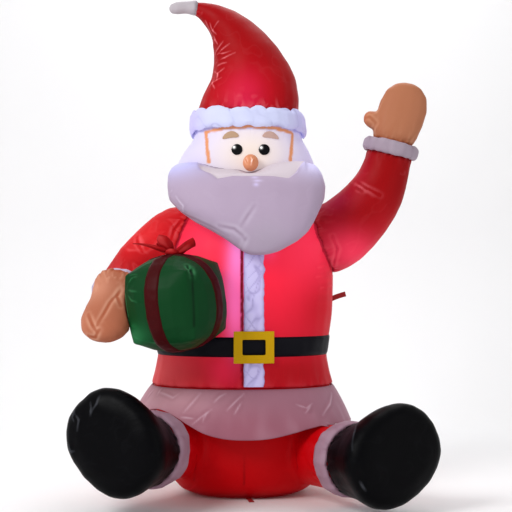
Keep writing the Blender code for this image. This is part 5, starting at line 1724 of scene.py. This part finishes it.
@dataclass
class Gift:
    """The gift box with its ribbon and bow."""

    ribbon_width: float = 3.4
    place: Matrix = field(
        default_factory=lambda: Matrix(
            (
                (0.8996, 0.4195, -0.1219, -0.165), (-0.4306, 0.8984, -0.0865, -0.24),
                (0.0732, 0.1303, 0.9888, 0.461), (0, 0, 0, 1)
            )
        )
    )
    green: Nylon = Nylon(
        "gift nylon", colour=(8, 58, 25), light=(84, 170, 112), dark=(1, 18, 6),
        # painted highlight at the lower left corner and a little painted light on the right side
        painted_shading_and_tints=(
            Patch((-26.0, -30.0, 38.5), (3.4, 6.0, 2.6), (30, 120, 66), 0.8),
            Patch((-6.0, -26.0, 46.0), (5.0, 8.0, 9.0), (14, 58, 32), 0.6)
        ),
        base_glow=(0, 16, 6), fold=0.8
    )
    ribbon: Nylon = Nylon("ribbon nylon", colour=(62, 1, 4), light=(140, 26, 36), dark=(34, 0, 3), fold=0.6)
    bow: Nylon = Nylon("bow nylon", (152, 8, 14), (214, 74, 76), (90, 2, 6), base_glow=(50, 0, 2), fold=0.6)

    def strips(self) -> bpy.types.Object:
        """The bow: a standing loop, two tails and a knot, as one crumpled piece."""
        knot = (-17.4, -25.1, 57.3)
        shapes = (
            ((knot, (-18.2, -26.0, 58.6), (-19.5, -26.4, 59.8), (-20.7, -25.8, 60.7)), (0.8, 2.6, 2.9, 1.5)),
            ((knot, (-18.8, -25.0, 58.2), (-19.9, -25.0, 59.0), (-20.7, -25.0, 59.6)), (0.6, 1.7, 1.9, 1.0)),
            ((knot, (-19.6, -25.8, 57.9), (-22.4, -26.0, 58.8), (-26.2, -25.6, 59.3)), (0.9, 1.3, 0.8, 0.2)),
            ((knot, (-15.7, -26.0, 57.7), (-14.1, -26.2, 58.7), (-12.2, -25.6, 59.7)), (0.9, 1.6, 2.0, 2.1)),
            ((knot, (-15.9, -24.8, 57.3), (-14.9, -24.8, 57.7), (-14.0, -24.9, 57.9)), (0.7, 1.2, 1.2, 0.4)),
            (
                ((-18.9, -25.3, 57.0), (-17.9, -26.4, 57.3), (-16.7, -26.4, 57.3), (-15.6, -25.3, 57.0)),
                (1.0, 1.6, 1.5, 1.0)
            )
        )
        seeds = np.arange(51.0, 57.0)
        pieces = [self.strip(*map(np.array, shape), seed) for shape, seed in zip(shapes, seeds)]
        mesh = bmesh.new()
        for piece in pieces:
            mesh.from_mesh(piece.data)
            bpy.data.objects.remove(piece)
        whole = bpy.data.meshes.new("gift_bow_strips")
        mesh.to_mesh(whole)
        mesh.free()
        return new_piece("gift_bow_strips", whole)

    def strip(self, path: np.ndarray, widths: np.ndarray, seed: float) -> bpy.types.Object:
        """A crumpled ribbon along a smooth curve through four places, in units.

        Args:
            path: the four places.
            widths: the ribbon's width at each.
            seed: what its crumples start from.

        Returns:
            The ribbon, a thin closed piece.
        """
        columns, rows = 40, 9
        t = np.linspace(0, 3, columns)
        smooth = np.stack(
            [np.polynomial.Polynomial.fit(np.arange(4), path[:, k], 3)(t) for k in range(3)], axis=1
        )
        width = np.interp(t, np.arange(4), widths)
        along = np.gradient(smooth, axis=0)
        along /= np.linalg.norm(along, axis=1)[:, None]
        side = np.cross(along, np.array([0.1, 1.0, 0.25]))
        side /= np.linalg.norm(side, axis=1)[:, None]
        normal = np.cross(side, along)
        across = np.linspace(-0.5, 0.5, rows)[:, None, None]
        grid = smooth[None] + across * (width[None, :, None] * side[None])
        stripes = np.stack(
            [
                3.5 * across[:, :, 0] * np.ones((rows, columns)), 0.9 * t[None] * np.ones((rows, columns)),
                np.full((rows, columns), seed)
            ],
            axis=2
        )
        crumple = puffs(stripes.reshape(-1, 3), 2.2, seed).reshape(rows, columns)
        cup = 0.9 * across[:, :, 0] ** 2 * width[None]
        grid += ((0.16 * crumple + cup) * np.minimum(width, 1)[None])[:, :, None] * normal[None]
        piece = shell("bow strip", grid * UNIT, (grid - 0.06 * normal[None]) * UNIT, False)
        # painted highlights and painted shade on the crumples
        paint(piece.data, "light", np.tile(0.8 * crumple.ravel(), 2))
        return piece

    def build(self) -> None:
        """Builds the box, its two ribbons and the bow."""
        seam = ((-12.5, -33.0, 53.6), (-12.2, -34.5, 50.0), (-11.9, -34.2, 41.1))
        left = ((-27.0, -28.1, 52.5), (-27.3, -28.4, 47.4), (-26.4, -27.4, 39.6))
        # painted shade along the seam and in the creases, and painted highlights on the ridges
        folds = (
            Fold(seam, 0.16, 0.9, FoldKind.SEAM, 1.0),
            Fold(((-12.6, -32.6, 54.4), (-12.4, -33.9, 52.2)), 0.5, 0.9, light=1.0),
            Fold(((-13.6, -32.2, 54.6), (-13.0, -33.6, 53.0)), 0.3, 0.7, light=1.0),
            *(
                Fold(
                    front_path("gift_box", (-26.6, z), (-25.8, z + drop), (-24.6, z + 1.4 * drop)), 0.22, 0.7,
                    RIDGE, 0.3
                )
                for z, drop in ((51.9, 0.3), (50.6, 0.9), (48.9, -0.2), (47.6, -0.9))
            ),
            Fold(left, 0.12, 0.6, RIDGE, 0.5),
            *(
                Fold(front_path("gift_box", *line), 0.12, 0.8, RIDGE, light) for line,
                light in (
                    (((-26.2, 52.6), (-22.9, 54.6), (-17.7, 55.9)), 0.3),
                    (((-25.2, 38.4), (-20.3, 37.3), (-13.0, 37.6)), 0.4)
                )
            )
        )
        Bag(
            "gift_box", self.green, "green_fabric", ("carrying_mitten",), grid=0.0029,
            gather=Gather(0, 1, 1, 0), folds=folds, swell=0.14, rounds=5, crumple=0.0, seed=41.0
        ).build()
        turns = (Matrix.Rotation(math.pi / 2, 4, "X"), Matrix.Rotation(math.pi / 2, 4, "Y"))
        for name, turn, lift in zip(("gift_ribbon_side", "gift_ribbon_front"), turns, (0.16, 0.24)):
            Band(
                name, ("gift_ribbon",), "gift_box", "ribbon_fabric", self.ribbon, self.place @ turn,
                self.ribbon_width, lift, 200, 9, 0.08, 0.1
            ).build()
        strips = self.strips()
        dressed(strips, self.bow.material(), "ribbon_fabric", "gift_bow")


# Fittings


@dataclass
class Fittings:
    """Tether tabs, and the blower with its grille and cord gland."""

    grid: float = 0.0006
    webbing: Plastic = Plastic("tab webbing", (150, 8, 14), 0.7, 900.0, 0.8)
    housing: Plastic = Plastic("blower plastic", (24, 24, 27), 0.45)

    def build(self) -> None:
        """Dresses the tabs and keeps the blower's own solids with a moulded finish."""
        material = self.webbing.material()
        for side in ("left", "right", "front", "back"):
            node = frame["nodes"][f"tether_tab_{side}"]
            piece = new_piece(f"tab_{side}", node.data.copy())
            remeshed(piece, self.grid)
            places = coordinates(piece.data)
            edges = links(piece.data)
            move_to(piece.data, diffused(places, edges, 3, np.full((len(places), 1), 0.5)))
            dressed(piece, material, "webbing", node.name)
        plastic = self.housing.material()
        for name in ("blower", "blower_grille", "cord_gland"):
            node = frame["nodes"][name]
            node.data.materials.clear()
            node.data.materials.append(plastic)


# Studio


@dataclass
class Studio:
    """A pale sweep of paper, soft lights and the camera."""

    camera_place: Place = (0.0147, -3.0, 0.5)
    focal_pixels: float = 1224.0
    picture: int = 512
    sensor: float = 36.0
    horizon: float = 29.2
    paper: Colour = (246, 246, 247)
    aim: Place = (0, 0, 0.55)
    sky: float = 0.5
    lamps: tuple[tuple[str, Place, float, float], ...] = (
        ("key", (-1.9, -2.2, 2.2), 1.3, 62), ("fill", (2.4, -2.0, 1.2), 2.0, 10),
        ("top", (0.3, 0.9, 2.9), 1.8, 34)
    )

    def backdrop(self) -> None:
        """A floor that curves up into a wall, which isn't seen from behind."""
        depth, height, radius, half = 1.2, 3.2, 0.8, 4.0
        profile = [(-4.5, 0.0), (0.0, 0.0), (depth, 0.0)]
        for k in range(1, 17):
            turn = k / 16 * math.pi / 2
            profile.append((depth + radius * math.sin(turn), radius * (1 - math.cos(turn))))
        profile.append((depth + radius, height))
        places = [(x, y, z - 0.0006) for y, z in profile for x in (-half, half)]
        faces = [(2 * k, 2 * k + 1, 2 * k + 3, 2 * k + 2) for k in range(len(profile) - 1)]
        mesh = bpy.data.meshes.new("backdrop")
        mesh.from_pydata(places, [], faces)
        sweep = new_piece("backdrop", mesh)
        sweep.data.shade_smooth()
        made, graph, shader = new_material("backdrop paper")
        place = graph.place()
        base = linear(self.paper)
        darker = tuple(0.97 * c for c in base[:3]) + (1.0,)
        back = graph.add("ShaderNodeNewGeometry").outputs["Backfacing"]
        graph.set(shader, Base_Color=graph.mix(graph.noise(place, 2.0), base, darker), Roughness=0.9)
        graph.set(shader, Alpha=graph.maths("SUBTRACT", 1.0, back))
        sweep.data.materials.append(made)

    def light(self, name: str, place: Place, size: float, power: float) -> None:
        """A square soft light aimed at the figure's middle.

        Args:
            name: the light's name.
            place: where it stands, in metres.
            size: its side, in metres.
            power: its power, in watts.
        """
        data = bpy.data.lights.new(name, "AREA")
        data.size = size
        data.energy = power
        lamp = bpy.data.objects.new(name, data)
        lamp.location = place
        lamp.rotation_euler = (Vector(self.aim) - Vector(place)).to_track_quat("-Z", "Y").to_euler()
        bpy.context.scene.collection.objects.link(lamp)

    def camera(self) -> None:
        """The camera at the photograph's viewing angle."""
        data = bpy.data.cameras.new("camera")
        data.sensor_width = self.sensor
        data.lens = self.focal_pixels * self.sensor / self.picture
        camera = bpy.data.objects.new("camera", data)
        camera.location = self.camera_place
        camera.rotation_euler = (math.pi / 2 + math.atan(self.horizon / self.focal_pixels), 0, 0)
        bpy.context.scene.collection.objects.link(camera)
        bpy.context.scene.camera = camera

    def build(self) -> None:
        """Sets up the backdrop, the lights, the sky and the camera."""
        scene = bpy.context.scene
        self.backdrop()
        for lamp in self.lamps:
            self.light(*lamp)
        world = bpy.data.worlds.new("studio air")
        world.use_nodes = True
        sky = world.node_tree.nodes["Background"]
        sky.inputs["Color"].default_value = (1.0, 1.0, 1.0, 1.0)
        sky.inputs["Strength"].default_value = self.sky
        scene.world = world
        scene.view_settings.view_transform = "Standard"
        scene.view_settings.look = "None"
        self.camera()


def main() -> None:
    """Builds the santa, then its studio."""
    for part in (Trunk(), Head(), Hat(), Arms(), Legs(), Gift(), Fittings(), Studio()):
        log.info("building %s", type(part).__name__)
        part.build()


if __name__ == "__main__":
    logging.basicConfig(level=logging.INFO, format="%(message)s")
    main()
